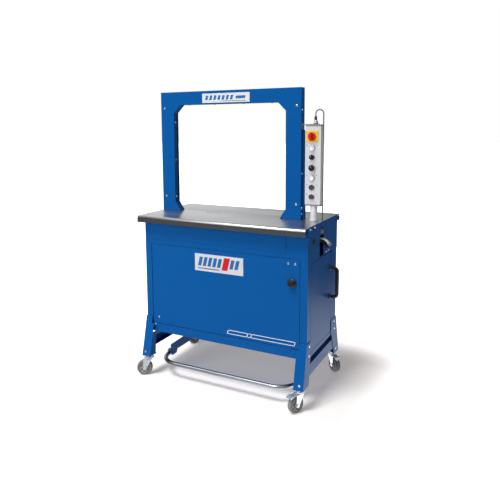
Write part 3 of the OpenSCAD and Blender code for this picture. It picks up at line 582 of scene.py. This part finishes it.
# %% Loose parts of a node
def loose_parts(name):
    """Boxes of a node's separate solids. Equal points share a label, and each triangle hands the lowest
    label of its corners to all three until nothing changes."""
    mesh = nodes[name].data
    points, corners = np.empty(len(mesh.vertices) * 3), np.empty(len(mesh.loops), int)
    mesh.vertices.foreach_get("co", points)
    mesh.loops.foreach_get("vertex_index", corners)
    grid, same = np.unique(np.round(points.reshape(-1, 3), 5), axis=0, return_inverse=True)
    triangles = same.ravel()[corners].reshape(-1, 3)
    label, before = np.arange(len(grid)), None
    while before is None or (label != before).any():
        before = label.copy()
        np.minimum.at(label, triangles.ravel(), np.repeat(before[triangles].min(1), 3))
    groups = [grid[label == k] for k in np.unique(label)]
    return [(g.min(0), g.max(0)) for g in groups]


# %% Socket heads
def socket_head(radius, height, steps=24):
    """Rings of a low domed head, from the middle of its flat side at z = 0 over the dome into the
    hexagon socket. A ring is (radius as a share of the head's, height as a share of the head's)."""
    a = np.arange(steps) * 2 * np.pi / steps
    hexagon = 0.42 / np.cos(a % (np.pi / 3) - np.pi / 6)
    one = np.ones(steps)
    rings = [(0 * one, 0), (one, 0), (one, 0.45), (0.95 * one, 0.72), (0.80 * one, 0.93), (0.62 * one, 1.0)]
    rings += [(hexagon * 1.04, 1.0), (hexagon, 0.9), (hexagon, 0.25), (0 * one, 0.2)]
    r, z = np.stack([r for r, _ in rings]) * radius, np.array([z for _, z in rings])[:, None] * height
    return skin(np.stack([r * np.cos(a), r * np.sin(a), z * one], -1), close_columns=True)


def near(point, hosts):
    """Distance from a point to the nearest of some nodes' surfaces."""
    hits = [nodes[host].closest_point_on_mesh(point.tolist()) for host in hosts]
    return min((Vector(point) - hit[1]).length for hit in hits)


def heads(name, node, hosts, body):
    """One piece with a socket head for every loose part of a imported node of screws."""
    skins = []
    for low, high in loose_parts(node):
        axis = int(np.argmin(high - low))
        way, middle = np.eye(3)[axis], (low + high) / 2
        ends = [middle - way * (middle[axis] - low[axis]), middle + way * (high[axis] - middle[axis])]
        foot = 0 if near(ends[0], hosts) < near(ends[1], hosts) else 1
        radius = np.delete(high - low, axis).max() / 2
        head = socket_head(radius, (high - low)[axis])
        skins += at([head], ends[foot], facing(way if foot == 0 else -way))
    piece(name, skins, body, "zinc", stands_for=[node], sharp=32)


heads("arch_screw_heads", "arch_bolts", ["arch_front_cover"], "base")
heads("door_screw_heads", "door_screws", ["front_door"], "front_door")
BOLTED = ["left_trestle", "right_trestle", "right_panel", "cabinet_frame"]
heads("frame_bolt_heads", "frame_screws", BOLTED, "base")

# %% [markdown]
# ## Door knob and bow handle
# The knob is a moulded star grip: a turned profile whose radius swings eight times round. The bow
# handle is one tube bent in a plane, so an oval section is carried along an eased path, with a round
# foot at each end.

# %% Door knob
axis_at = pivot["door_knob_turn"]
knob = [(0, 0.0005), (0.0185, 0.0005), (0.0195, 0.0015), (0.0195, 0.0045), (0.0180, 0.0065)]
knob += [(0.0150, 0.0080), (0.0152, 0.0150), (0.0148, 0.0185), (0.0125, 0.0199), (0.0080, 0.0194)]
knob += [(0, 0.0190)]
lobe = [0, 0, 0, 0, 0, 0.10, 0.16, 0.14, 0.08, 0, 0]
spindle = turned([(0, -0.0235), (0.0062, -0.0235), (0.007, -0.0225), (0.007, 0.0005), (0, 0.0005)], 32)
CAM_HALF, CAM_TOP = 0.009, 0.0095
cam_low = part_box("door_knob")[0].z - axis_at[2]
cam = [(-CAM_HALF, cam_low), (CAM_HALF, cam_low), (CAM_HALF, CAM_TOP), (-CAM_HALF, CAM_TOP)]
cam = slab(eased(cam, 0.004, closed=True), -0.0215, -0.018, 0.0005)
piece(
    "star_knob", at([turned(knob, 64, 8, lobe), spindle, cam], axis_at, FRONT), "door_knob",
    "black_plastic", stands_for=["door_knob"], sharp=50,
)

# %% Bow handle
low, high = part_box("side_handle")
GRIP, FOOT, BEND_STEPS = 0.0085, 0.013, 12
lower, upper = low.z + GRIP, high.z - GRIP
y, reach = (low.y + high.y) / 2, high.x - GRIP
bow = [(low.x, y, lower), (reach, y, lower), (reach, y, upper), (low.x, y, upper)]
bow = eased(bow, 0.024, BEND_STEPS)
straight = np.linspace(bow[BEND_STEPS], bow[BEND_STEPS + 1], 6)[1:-1]
bow = np.concatenate([bow[:BEND_STEPS + 1], straight, bow[BEND_STEPS + 1:]])
foot = eased([(0, 0), (FOOT, 0), (FOOT, 0.004), (0.0098, 0.006), (GRIP, 0.010)], 0.002, 4)
feet = [turned(np.vstack([foot, [(0, 0.010)]]), 32)]
skins = [carried(circle(GRIP, 20) * [1, 0.94], bow, (0, 1, 0))]
for z in (lower, upper):
    skins += at(feet, (low.x, y, z), RIGHT)
piece("bow_handle", skins, "side_door", "black_plastic", stands_for=["side_handle"])

# %% [markdown]
# ## Control station
# An extruded aluminium box on a post carries the switches in one column: a red rotary switch on a
# yellow plate, two white push buttons, a selector, a speed knob and two dark push buttons. Each sits
# in a metal ring. They are turned profiles that face the operator, and the printed marks beside them
# are thin slabs, plain ticks and dots without any lettering.

# %% Extruded box
GROOVE, GROOVE_PITCH = 0.0007, 0.0045
low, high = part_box("control_box")
middle = (low + high) / 2
wide, deep = high.x - low.x, high.y - low.y
outline = rectangle(wide, deep, 0.004)
groove = GROOVE * (np.cos(outline[:, 1] / GROOVE_PITCH * 2 * np.pi) > 0.3)
outline[:, 0] -= np.sign(outline[:, 0]) * groove * (np.abs(outline[:, 0]) > wide / 2 - 0.001)
piece(
    "extruded_box", at([slab(outline, low.z, high.z)], (middle.x, middle.y, 0)), "base",
    "anodised", stands_for=["control_box"], bevel=0.0004,
)
caps = []
for low, high in loose_parts("control_caps"):
    (wide, deep, tall), (x, y, _) = high - low, (low + high) / 2
    caps += at([slab(rectangle(wide, deep, 0.005), 0, tall, 0.0015)], (x, y, low[2]))
piece("box_end_caps", caps, "base", "grey_plastic", stands_for=["control_caps"])


# %% Buttons and rings
BUTTONS = ("white_button_upper", "white_button_lower", "dark_button_upper", "dark_button_lower")
SHANK = 0.011  # radius of the barrel that every device has behind the panel


def front_of(name):
    """The middle of a node's front face: where a device meets the operator."""
    low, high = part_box(name)
    return np.array([(low.x + high.x) / 2, low.y, (low.z + high.z) / 2]), high.y - low.y


for name in BUTTONS:
    spot, depth = front_of(name)
    cap = [(0, -depth), (SHANK, -depth), (SHANK, 0), (0.0092, 0), (0.0085, -0.0008), (0, -0.0014)]
    cap = turned(eased(cap, 0.0008, 4), 40)
    piece(name + "_cap", at([cap], spot, FRONT), name, slot_of[name], stands_for=[name])
rings = []
for low, high in loose_parts("button_bezels"):
    ring = [(0.0113, 0), (0.0145, 0), (0.0145, 0.0022), (0.0132, 0.0040), (0.0118, 0.0040)]
    ring += [(0.0113, 0.0034)]
    ring = looped(eased(ring, 0.0004, 3, closed=True))
    knurl = 0.022 * (ring[:, 0] > 0.0142)
    x, _, z = (low + high) / 2
    rings += at([turned(ring, 96, 32, knurl)], (x, high[1], z), FRONT)
piece("button_rings", rings, "base", "zinc", stands_for=["button_bezels"], sharp=30)

# %% Rotary switch
low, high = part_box("switch_plate")
size = high - low
plate = slab(rectangle(size.x, size.z, 0.005), 0, size.y, 0.0006)
middle = np.array([(low.x + high.x) / 2, high.y, (low.z + high.z) / 2])
x, z = size.x / 2 - 0.005, size.z / 2 - 0.005
screws = []
for corner in ((-x, -z), (x, -z), (x, z), (-x, z)):
    screws += at([socket_head(0.0024, 0.0012)], (*corner, size.y))
piece(
    "yellow_switch_plate", at([plate], middle, FRONT), "base", "yellow_plate", stands_for=["switch_plate"],
)
piece("switch_plate_screws", at(screws, middle, FRONT), "base", "zinc")
spot, depth = front_of("switch_handle")
disc = [(0, -depth), (0.0078, -depth), (0.0078, -0.0237), (0.0180, -0.0237), (0.0180, -0.0175)]
disc += [(0.0168, -0.0152), (0, -0.0150)]
# The grip is a ridge: its half width is (4.2 + 2.2 t^2) mm, drawn in to nothing at both tips.
t = np.linspace(-1, 1, 21)
waist = 0.0042 + 0.0022 * t**2
tip = np.sqrt(np.clip(1 - np.abs(t) ** 7, 0, 1))
crown = np.array([-1, -1, -0.85, -0.45, 0.45, 0.85, 1, 1])
rise = np.array([-0.0155, -0.0030, -0.0009, 0, 0, -0.0009, -0.0030, -0.0155])
along = 0.0196 * t[:, None] * np.ones(8)
across = crown * (waist * tip)[:, None]
tall = np.minimum(rise + 0 * along, 0) - 0.0015 * t[:, None] ** 4 * (rise > -0.015)
grip = skin(np.stack([across, along, tall], -1), caps=True, close_columns=True)
piece(
    "red_switch_handle", at([turned(disc, 56), grip], spot, FRONT), "switch_handle",
    "red_plastic", stands_for=["switch_handle"], sharp=45,
)

# %% Selector and speed knob
spot, depth = front_of("mode_selector")
stem = eased([(0, -depth), (SHANK, -depth), (SHANK, -0.0100), (0.0098, -0.0092), (0, -0.0092)], 0.0008, 3)
bar = slab(rectangle(0.0062, 0.0200, 0.0028), -0.0110, 0.0, 0.0009)
pointer = slab(rectangle(0.0011, 0.0085, 0.0005) + [0, 0.0048], -0.0010, 0.00012, mark=1)
piece(
    "selector_lever", at([turned(stem, 40), bar, pointer], spot, FRONT), "mode_selector",
    "black_plastic", stands_for=["mode_selector"], materials=[finishes["black_plastic"], WHITE_INK],
)
spot, depth = front_of("speed_knob")
knob = [(0, -depth), (SHANK, -depth), (SHANK, -0.0158), (0.0135, -0.0156), (0.0135, -0.0118)]
knob += [(0.0102, -0.0112), (0.0097, -0.0012), (0.0088, 0), (0, 0)]
flutes = [0, 0, 0, 0, 0, 0.08, 0.08, 0, 0]
pointer = slab(rectangle(0.0011, 0.0075, 0.0005) + [0, 0.0052], -0.0010, 0.00012, mark=1)
piece(
    "speed_dial", at([turned(knob, 96, 16, flutes), pointer], spot, FRONT), "speed_knob",
    "black_plastic", stands_for=["speed_knob"], materials=[finishes["black_plastic"], WHITE_INK],
)

# %% Printed marks
INK_BELOW, INK_ABOVE = -0.0001, 0.00012
panel_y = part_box("control_front")[0].y
tick = slab(rectangle(0.0009, 0.0034, 0.0003) + [0, 0.0185], INK_BELOW, INK_ABOVE)
dot = slab(circle(0.0019, 16), INK_BELOW, INK_ABOVE)
dash = slab(rectangle(0.0046, 0.0026, 0.0008), INK_BELOW, INK_ABOVE)
marks = []
for name, angles in (("speed_knob", range(-135, 136, 30)), ("mode_selector", (-45, 0, 45))):
    (x, _, z), _ = front_of(name)
    for a in np.radians(angles):
        turn = np.array([[np.cos(a), np.sin(a), 0], [-np.sin(a), np.cos(a), 0], [0, 0, 1]])
        marks += at(at([tick], (0, 0, 0), turn), (x, panel_y, z), FRONT)
for name in BUTTONS:
    (x, _, z), _ = front_of(name)
    marks += at([dot], (x - 0.0225, panel_y, z + 0.012), FRONT)
    marks += at([dash], (x + 0.0225, panel_y, z + 0.012), FRONT)
piece("panel_marks", marks, "base", "anodised", materials=[GREY_INK])

# %% [markdown]
# ## Cable gland
# The cable leaves the station through a nickel-plated gland with a coiled sleeve that keeps it from
# kinking. The nut is a hexagon, r(a) = w / cos(a mod 60 - 30), and the sleeve is a taper with a sine
# ripple.

# %% Gland
low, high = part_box("cable_gland")
foot = np.array([(low.x + high.x) / 2, (low.y + high.y) / 2, low.z])
a = np.radians(np.arange(0, 360, 6))
hexagon = 0.0102 / np.cos(a % (np.pi / 3) - np.pi / 6)
nut = [np.column_stack([hexagon * s * np.cos(a), hexagon * s * np.sin(a), 0 * a + z])
       for s, z in ((0.0, 0), (0.97, 0), (1, 0.0008), (1, 0.0072), (0.95, 0.0082), (0.0, 0.0082))]
dome = eased([(0, 0.008), (0.0088, 0.008), (0.0088, 0.0135), (0.0074, 0.0160), (0, 0.0160)], 0.001, 4)
z = np.linspace(0.0155, high.z - low.z - 0.0005, 90)
ripple = 0.0066 - 0.0012 * (z - z[0]) / (z[-1] - z[0]) + 0.0006 * np.sin((z - z[0]) / 0.0022 * 2 * np.pi)
sleeve = np.vstack([[(0, z[0])], np.column_stack([ripple, z]), [(0, z[-1])]])
gland = [skin(np.stack(nut), close_columns=True), turned(dome, 40), turned(sleeve, 32, mark=1)]
piece(
    "gland_with_sleeve", at(gland, foot), "base", "grey_plastic", stands_for=["cable_gland"],
    materials=[finishes["zinc"], SHEEN_BLACK],
)


# %% [markdown]
# ## Casters
# Each caster is a zinc fork pressed from one sheet, a ball race under the leg, a bolt for an axle and
# a grey rubber tyre moulded round a ribbed plastic core. The fork is a grid: one way follows the
# sheet's U from foot to foot, the other way runs across its width, which narrows downward and ends in
# a half circle round the axle. The core's web is w(a) = 3.5 mm between ribs and 8.5 mm on six ribs.

# %% Caster parts in their own frame
MM = 0.001
across_floor = np.linalg.norm((pivot["roll_fl"] - pivot["swivel_fl"])[:2])
AXLE = round(pivot["roll_fl"][2] / MM, 1)  # height of the axle over the floor, in mm
TRAIL = round(across_floor / MM, 1)  # from the swivel's line to the axle, in mm
EYE = 8.4  # radius of the fork's rounded lower end, in mm
print("axle", AXLE, "mm up, trailing the swivel by", TRAIL, "mm")


def wheel_skins():
    """A tyre turned from a closed profile, and a core whose rings step in and out over the ribs."""
    side = [(27.4, -9.5), (27.9, -11.0), (29.6, -11.6), (30.4, -11.1), (31.2, -11.7), (33.0, -12.0)]
    side += [(35.3, -10.6), (36.6, -7.5), (37.2, -4.5), (37.42, -0.9), (37.25, -0.5)]
    tread = np.array(side + [(r, -z) for r, z in reversed(side)]) * MM
    tyre = turned(looped(eased(tread, 0.0005, 3, closed=True)), 96)
    a = np.arange(144) * 2 * np.pi / 144
    rib = np.clip((np.cos(6 * a) - 0.72) / 0.16, 0, 1)
    rib = rib * rib * (3 - 2 * rib)
    web, one = 3.5 + 5.0 * rib, np.ones(144)
    rows = [(5.1, 13 * one), (9.2, 13 * one), (9.9, 12.4 * one), (10.3, web + 1.2), (11.6, web), (23.2, web)]
    rows += [(24.6, web + 1.5), (25.0, 9.6 * one), (25.5, 10.2 * one), (27.0, 10.2 * one), (27.5, 9.7 * one)]
    rows += [(r, -z) for r, z in reversed(rows)]
    core = np.stack([np.stack([r * np.cos(a), r * np.sin(a), z], -1) for r, z in rows]) * MM
    return [tyre, skin(core, close_rows=True, close_columns=True, mark=1)]


def fork_sheet():
    """The pressed fork: y and z follow the U, x runs from the rear to the front edge at that height."""
    half, top, bend = 16.0, 86.0, 6.0
    eye = AXLE - EYE * np.cos(np.linspace(0.06, np.pi / 2, 9))
    leg = np.concatenate([eye, np.linspace(AXLE, top - bend, 10)[1:]])
    turn = np.linspace(0, np.pi / 2, 7)[1:]
    bridge = np.linspace(half - bend, 0, 5)[1:]
    y = np.concatenate([half + 0 * leg, half - bend + bend * np.cos(turn), bridge])
    z = np.concatenate([leg, top - bend + bend * np.sin(turn), top + 0 * bridge])
    low_half = EYE * np.sqrt(1 - np.clip((AXLE - z) / EYE, 0, 0.998) ** 2)
    rise = np.clip((z - AXLE) / (top - AXLE), 0, 1)
    rear = np.where(z < AXLE, TRAIL - low_half, TRAIL - EYE - 28.4 * rise)
    front = np.where(z < AXLE, TRAIL + low_half, TRAIL + EYE - 2.6 * rise)
    y, z, rear, front = [np.concatenate([way * a, a[-2::-1]])
                         for a, way in ((y, -1), (z, 1), (rear, 1), (front, 1))]
    v = np.linspace(0, 1, 13)
    x = rear[:, None] + (front - rear)[:, None] * v
    level = np.clip((z - 40) / 12, 0, 1) * np.clip((82 - z) / 8, 0, 1)
    pressed = 0.9 * level[:, None] * np.sin(np.pi * v) ** 2
    grid = np.stack([x, y[:, None] + np.sign(y)[:, None] * (pressed - 0.5), z[:, None] + 0 * x], -1)
    return skin(grid * MM)


def pedal_sheet():
    """The brake pedal: a strip along an eased path, wider in front, ridged for the shoe's sole."""
    path = eased([(9.5, 81), (43, 81), (50, 81.4), (60, 77.5), (63, 72.8)], 5, 5)
    s = np.concatenate([[0], np.cumsum(np.linalg.norm(np.diff(path, axis=0), axis=1))])
    t = np.linspace(0, 1, 45) * s[-1]
    x, z = np.interp(t, s, path[:, 0]), np.interp(t, s, path[:, 1])
    step = np.clip((x - 41) / 3, 0, 1)
    half = 13.2 + 3.6 * step * step * (3 - 2 * step)
    end = np.clip((t - s[-1] + 4) / 4, 0, 1)
    half = half - 3.0 * (1 - np.sqrt(1 - end**2 * 0.99))
    v = np.linspace(-1, 1, 17)
    ridged = np.clip((x - 46) / 2, 0, 1) * np.clip((60 - x) / 2, 0, 1)
    ridge = 0.35 * np.cos((x - 46) / 3.2 * 2 * np.pi) * ridged
    lip = -1.0 * step[:, None] * np.abs(v) ** 8
    grid = [x[:, None] + 0 * v, half[:, None] * v, z[:, None] + ridge[:, None] * (np.abs(v) < 0.85) + lip]
    return skin(np.stack(grid, -1) * MM)


# %% Casters on their pivots
def bolt(end, steps):
    """A pin turned from the profile of one end, in mm, and its mirror image."""
    return turned(np.array(end + [(r, -z) for r, z in reversed(end)]) * MM, steps)


race = [(6.3, 86.4), (20.4, 86.4), (20.9, 88.5), (20.4, 91.2), (17.5, 93.3), (6.3, 93.3)]
race = turned(looped(eased(race, 0.8, 4, closed=True) * MM), 48)
nut = slab(circle(0.0074, 6), 0.0176, 0.0206, 0.0006)
washer = turned(looped(np.array([(4.9, 17.4), (8.6, 17.4), (8.6, 18.0), (4.9, 18.0)]) * MM), 32)
far_side = np.diag([1, 1, -1])
axle = [bolt([(0, -20.9), (4.4, -20.9), (4.9, -20.3)], 24), nut, washer]
axle += at([nut, washer], (0, 0, 0), far_side)
pin = bolt([(0, -17.6), (2.2, -17.6), (2.5, -17.3)], 20)
for corner in ("fl", "fr", "rl", "rr"):
    fork, brake = "fork_" + corner, "brake_" + corner
    stem, hub = pivot["swivel_" + corner] * [1, 1, 0], pivot["roll_" + corner]
    ahead = (hub - stem) * [1, 1, 0] / np.linalg.norm((hub - stem)[:2])
    across = np.cross((0, 0, 1), ahead)
    own = np.stack([ahead, across, (0, 0, 1)], 1)
    spin = facing(across)
    piece(
        "moulded_wheel_" + corner, at(wheel_skins(), hub, spin), "wheel_" + corner, "tyre_grey",
        stands_for=["wheel_" + corner], materials=[finishes["tyre_grey"], WHEEL_CORE], sharp=32,
    )
    piece(
        "pressed_fork_" + corner, at([fork_sheet()], stem, own), fork, "zinc", stands_for=[fork],
        wall=0.0024, bevel=0.0004,
    )
    piece("swivel_race_" + corner, at([race], stem, own), fork, "zinc")
    piece("axle_bolt_" + corner, at(axle, hub, spin), fork, "zinc", sharp=30)
    if brake in nodes:
        piece(
            "brake_pedal_" + corner, at([pedal_sheet()], stem, own), brake, "zinc", stands_for=[brake],
            wall=0.002, bevel=0.0003,
        )
        piece("brake_pin_" + corner, at([pin], pivot[brake + "_press"], spin), brake, "zinc")

# %% [markdown]
# ## Strap guide
# Beside the slot on the right the strap leaves the reel over a flanged roller and is turned downward
# by a pale quarter ring. The ring is a shallow channel bent along an arc, so its section has a lip on
# both sides, and a thin metal loop at its end keeps the strap in. A dark quarter plate holds it. A
# round black cap closes the boss beside the slot.

# %% Quarter ring, plate and loop
RING, PLATE_OUT, PLATE_IN = 0.0435, 0.0425, 0.021
low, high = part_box("strap_guide")
hub = np.array([low.x, 0.0, low.z + 0.010])
arc = np.radians(np.linspace(100, 18, 30))
path = hub + RING * np.stack([np.cos(arc), 0 * arc, np.sin(arc)], -1)
channel = [(0.0, -12), (2.6, -12), (2.6, -10.6), (1.3, -9.6), (1.3, 9.6), (2.6, 10.6), (2.6, 12), (0.0, 12)]
channel = eased(np.array(channel) * MM, 0.0005, 3, closed=True) * [-1, 1]
rim = np.radians(np.linspace(97, 6, 24))
rim = np.stack([np.cos(rim), np.sin(rim)], 1)
sector = slab(np.concatenate([rim * PLATE_OUT, rim[::-1] * PLATE_IN]), -0.001, 0.001, mark=1)
piece(
    "strap_quarter_ring", [carried(channel, path, (0, 1, 0))] + at([sector], hub, FRONT), "base",
    "white_plastic", stands_for=["strap_guide"], materials=[finishes["white_plastic"], SHEEN_BLACK],
    sharp=35,
)
LOOP_NEAR, LOOP_FAR, LOOP_HALF = 0.0405, 0.0492, 0.0135
lean = math.radians(24)
out, along = np.array([math.cos(lean), 0, math.sin(lean)]), np.array([math.sin(lean), 0, -math.cos(lean)])
wire = [(LOOP_NEAR, -LOOP_HALF), (LOOP_FAR, -LOOP_HALF), (LOOP_FAR, LOOP_HALF), (LOOP_NEAR, LOOP_HALF)]
wire = eased(wire, 0.002, 5, closed=True)
loop = hub + wire[:, :1] * out + wire[:, 1:] * np.array([0, 1, 0])
strip = carried(rectangle(0.0012, 0.011, 0.0004), loop, along, closed=True)
piece("strap_loop", [strip], "base", "white_plastic", materials=[finishes["zinc"]], sharp=35)

# %% Guide roller and stop cap
low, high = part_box("guide_roller")
flange = [(4.1, 0), (14.2, 0), (14.5, 0.4), (14.5, 2.0), (14.1, 2.5), (12.3, 2.9), (12, 3.6)]
flange = np.array(flange) * MM
roll = looped(np.vstack([flange, (flange * [1, -1] + [0, high.y - low.y])[::-1]]))
axis_at = ((low.x + high.x) / 2, high.y, (low.z + high.z) / 2)
piece(
    "flanged_roller", at([turned(roll, 48)], axis_at, FRONT), "guide_roller", "grey_plastic",
    stands_for=["guide_roller"], sharp=30,
)
PROUD = 0.0012  # how far the cap stands out of the boss on the right panel
cap = [(0, 0), (13.6, 0), (13.6, 4.2), (12.2, 5.6), (9.4, 5.6), (8.6, 4.4), (7.6, 4.4), (7.0, 5.8), (0, 6.0)]
cap = eased(cap, 0.5, 4) * MM
boss = (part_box("right_panel")[1].x + PROUD - cap[-1, 1], -0.111, 0.719)
cap = at([turned(cap, 48)], boss, RIGHT)
piece("round_stop_cap", cap, "base", "black_plastic", materials=[SHEEN_BLACK])

# %% [markdown]
# ## Labels and stripe
# The panels carry film labels. Maker's lettering is left out: plain leaning bars stand in its place,
# blue with one red, over a thin line. Each bar is a parallelogram with thickness, set on the film.


# %% Leaning bars
LEAN = 0.25


def leaning(left, low, width, height):
    """A parallelogram whose top is shifted by LEAN x height."""
    right, top, shift = left + width, low + height, LEAN * height
    return np.array([(left, low), (right, low), (right + shift, top), (left + shift, top)])


def printed(shapes, face, mark=0):
    """Outlines in front-view x, z as thin slabs on a face that looks at the operator."""
    return [at([slab(shape, -0.0001, 0.00015, mark=mark)], (0, face, 0), FRONT)[0] for shape in shapes]


low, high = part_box("door_label")
lefts = [0.016 + 0.0250 * k for k in range(5)] + [0.180, 0.205]
bars = [leaning(low.x + left, low.z + 0.024, 0.0175, 0.042) for left in lefts]
red = [leaning(low.x + 0.140, low.z + 0.014, 0.030, 0.058)]
line = [leaning(low.x + 0.016, low.z + 0.011, 0.112, 0.0040)]
inks = printed(bars, low.y) + printed(red, low.y, 1) + printed(line, low.y, 2)
piece("door_label_bars", inks, "front_door", "label_silver", materials=[BLUE_INK, RED_INK, GREY_INK])
door_skin = high.y
low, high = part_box("arch_label")
bars = [leaning(low.x + 0.016 + 0.0225 * k, low.z + 0.013, 0.013, 0.021) for k in range(7)]
bars += [leaning(low.x + 0.180, low.z + 0.017, 0.050, 0.013)]
line = [leaning(low.x + 0.105, low.z + 0.006, 0.128, 0.0022)]
inks = printed(bars, low.y) + printed(line, low.y, 1)
piece("arch_label_bars", inks, "base", "label_silver", materials=[BLUE_INK, GREY_INK])

# %% Outline stripe on the door
START, RUN, BOTTOM, TALL, STROKE = 0.030, 0.330, 0.272, 0.019, 0.0026
lines = [leaning(START, BOTTOM, RUN, STROKE), leaning(START + 0.0042, BOTTOM + TALL - STROKE, RUN, STROKE)]
lines += [leaning(START + RUN * share, BOTTOM, 0.0034, TALL) for share in (0.001, 0.3, 0.36, 0.989)]
piece("door_stripe", printed(lines, door_skin), "front_door", "label_silver", materials=[WHITE_INK])

# %% [markdown]
# ## Wound strap
# Inside the cabinet the strap is wound in layers on the reel: the coil is a ring whose ends ripple
# where each turn lies a little beside the last.

# %% Coil
CORE, LAYERS, WINDINGS = 0.0984, 30, 12
low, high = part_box("strap_coil")
coil_axis = pivot["reel_spin"]
outer, length = (high.x - low.x) / 2, high.y - low.y
share = np.linspace(0, 1, 60)
ripple = 0.0009 * np.abs(np.sin(share * LAYERS * np.pi))
front_end = np.column_stack([CORE + (outer - CORE) * share, ripple])
share = np.linspace(0, 1, 40)
ripple = 0.0007 * np.abs(np.sin(share * WINDINGS * np.pi))
side = np.column_stack([outer - ripple, length * share])
back_end = front_end[::-1] * [1, -1] + [0, length]
coil = turned(looped(np.vstack([front_end, side[1:-1], back_end])), 96)
piece(
    "wound_coil", at([coil], (coil_axis[0], high.y, coil_axis[2]), FRONT), "reel", "strap",
    stands_for=["strap_coil"], sharp=60,
)
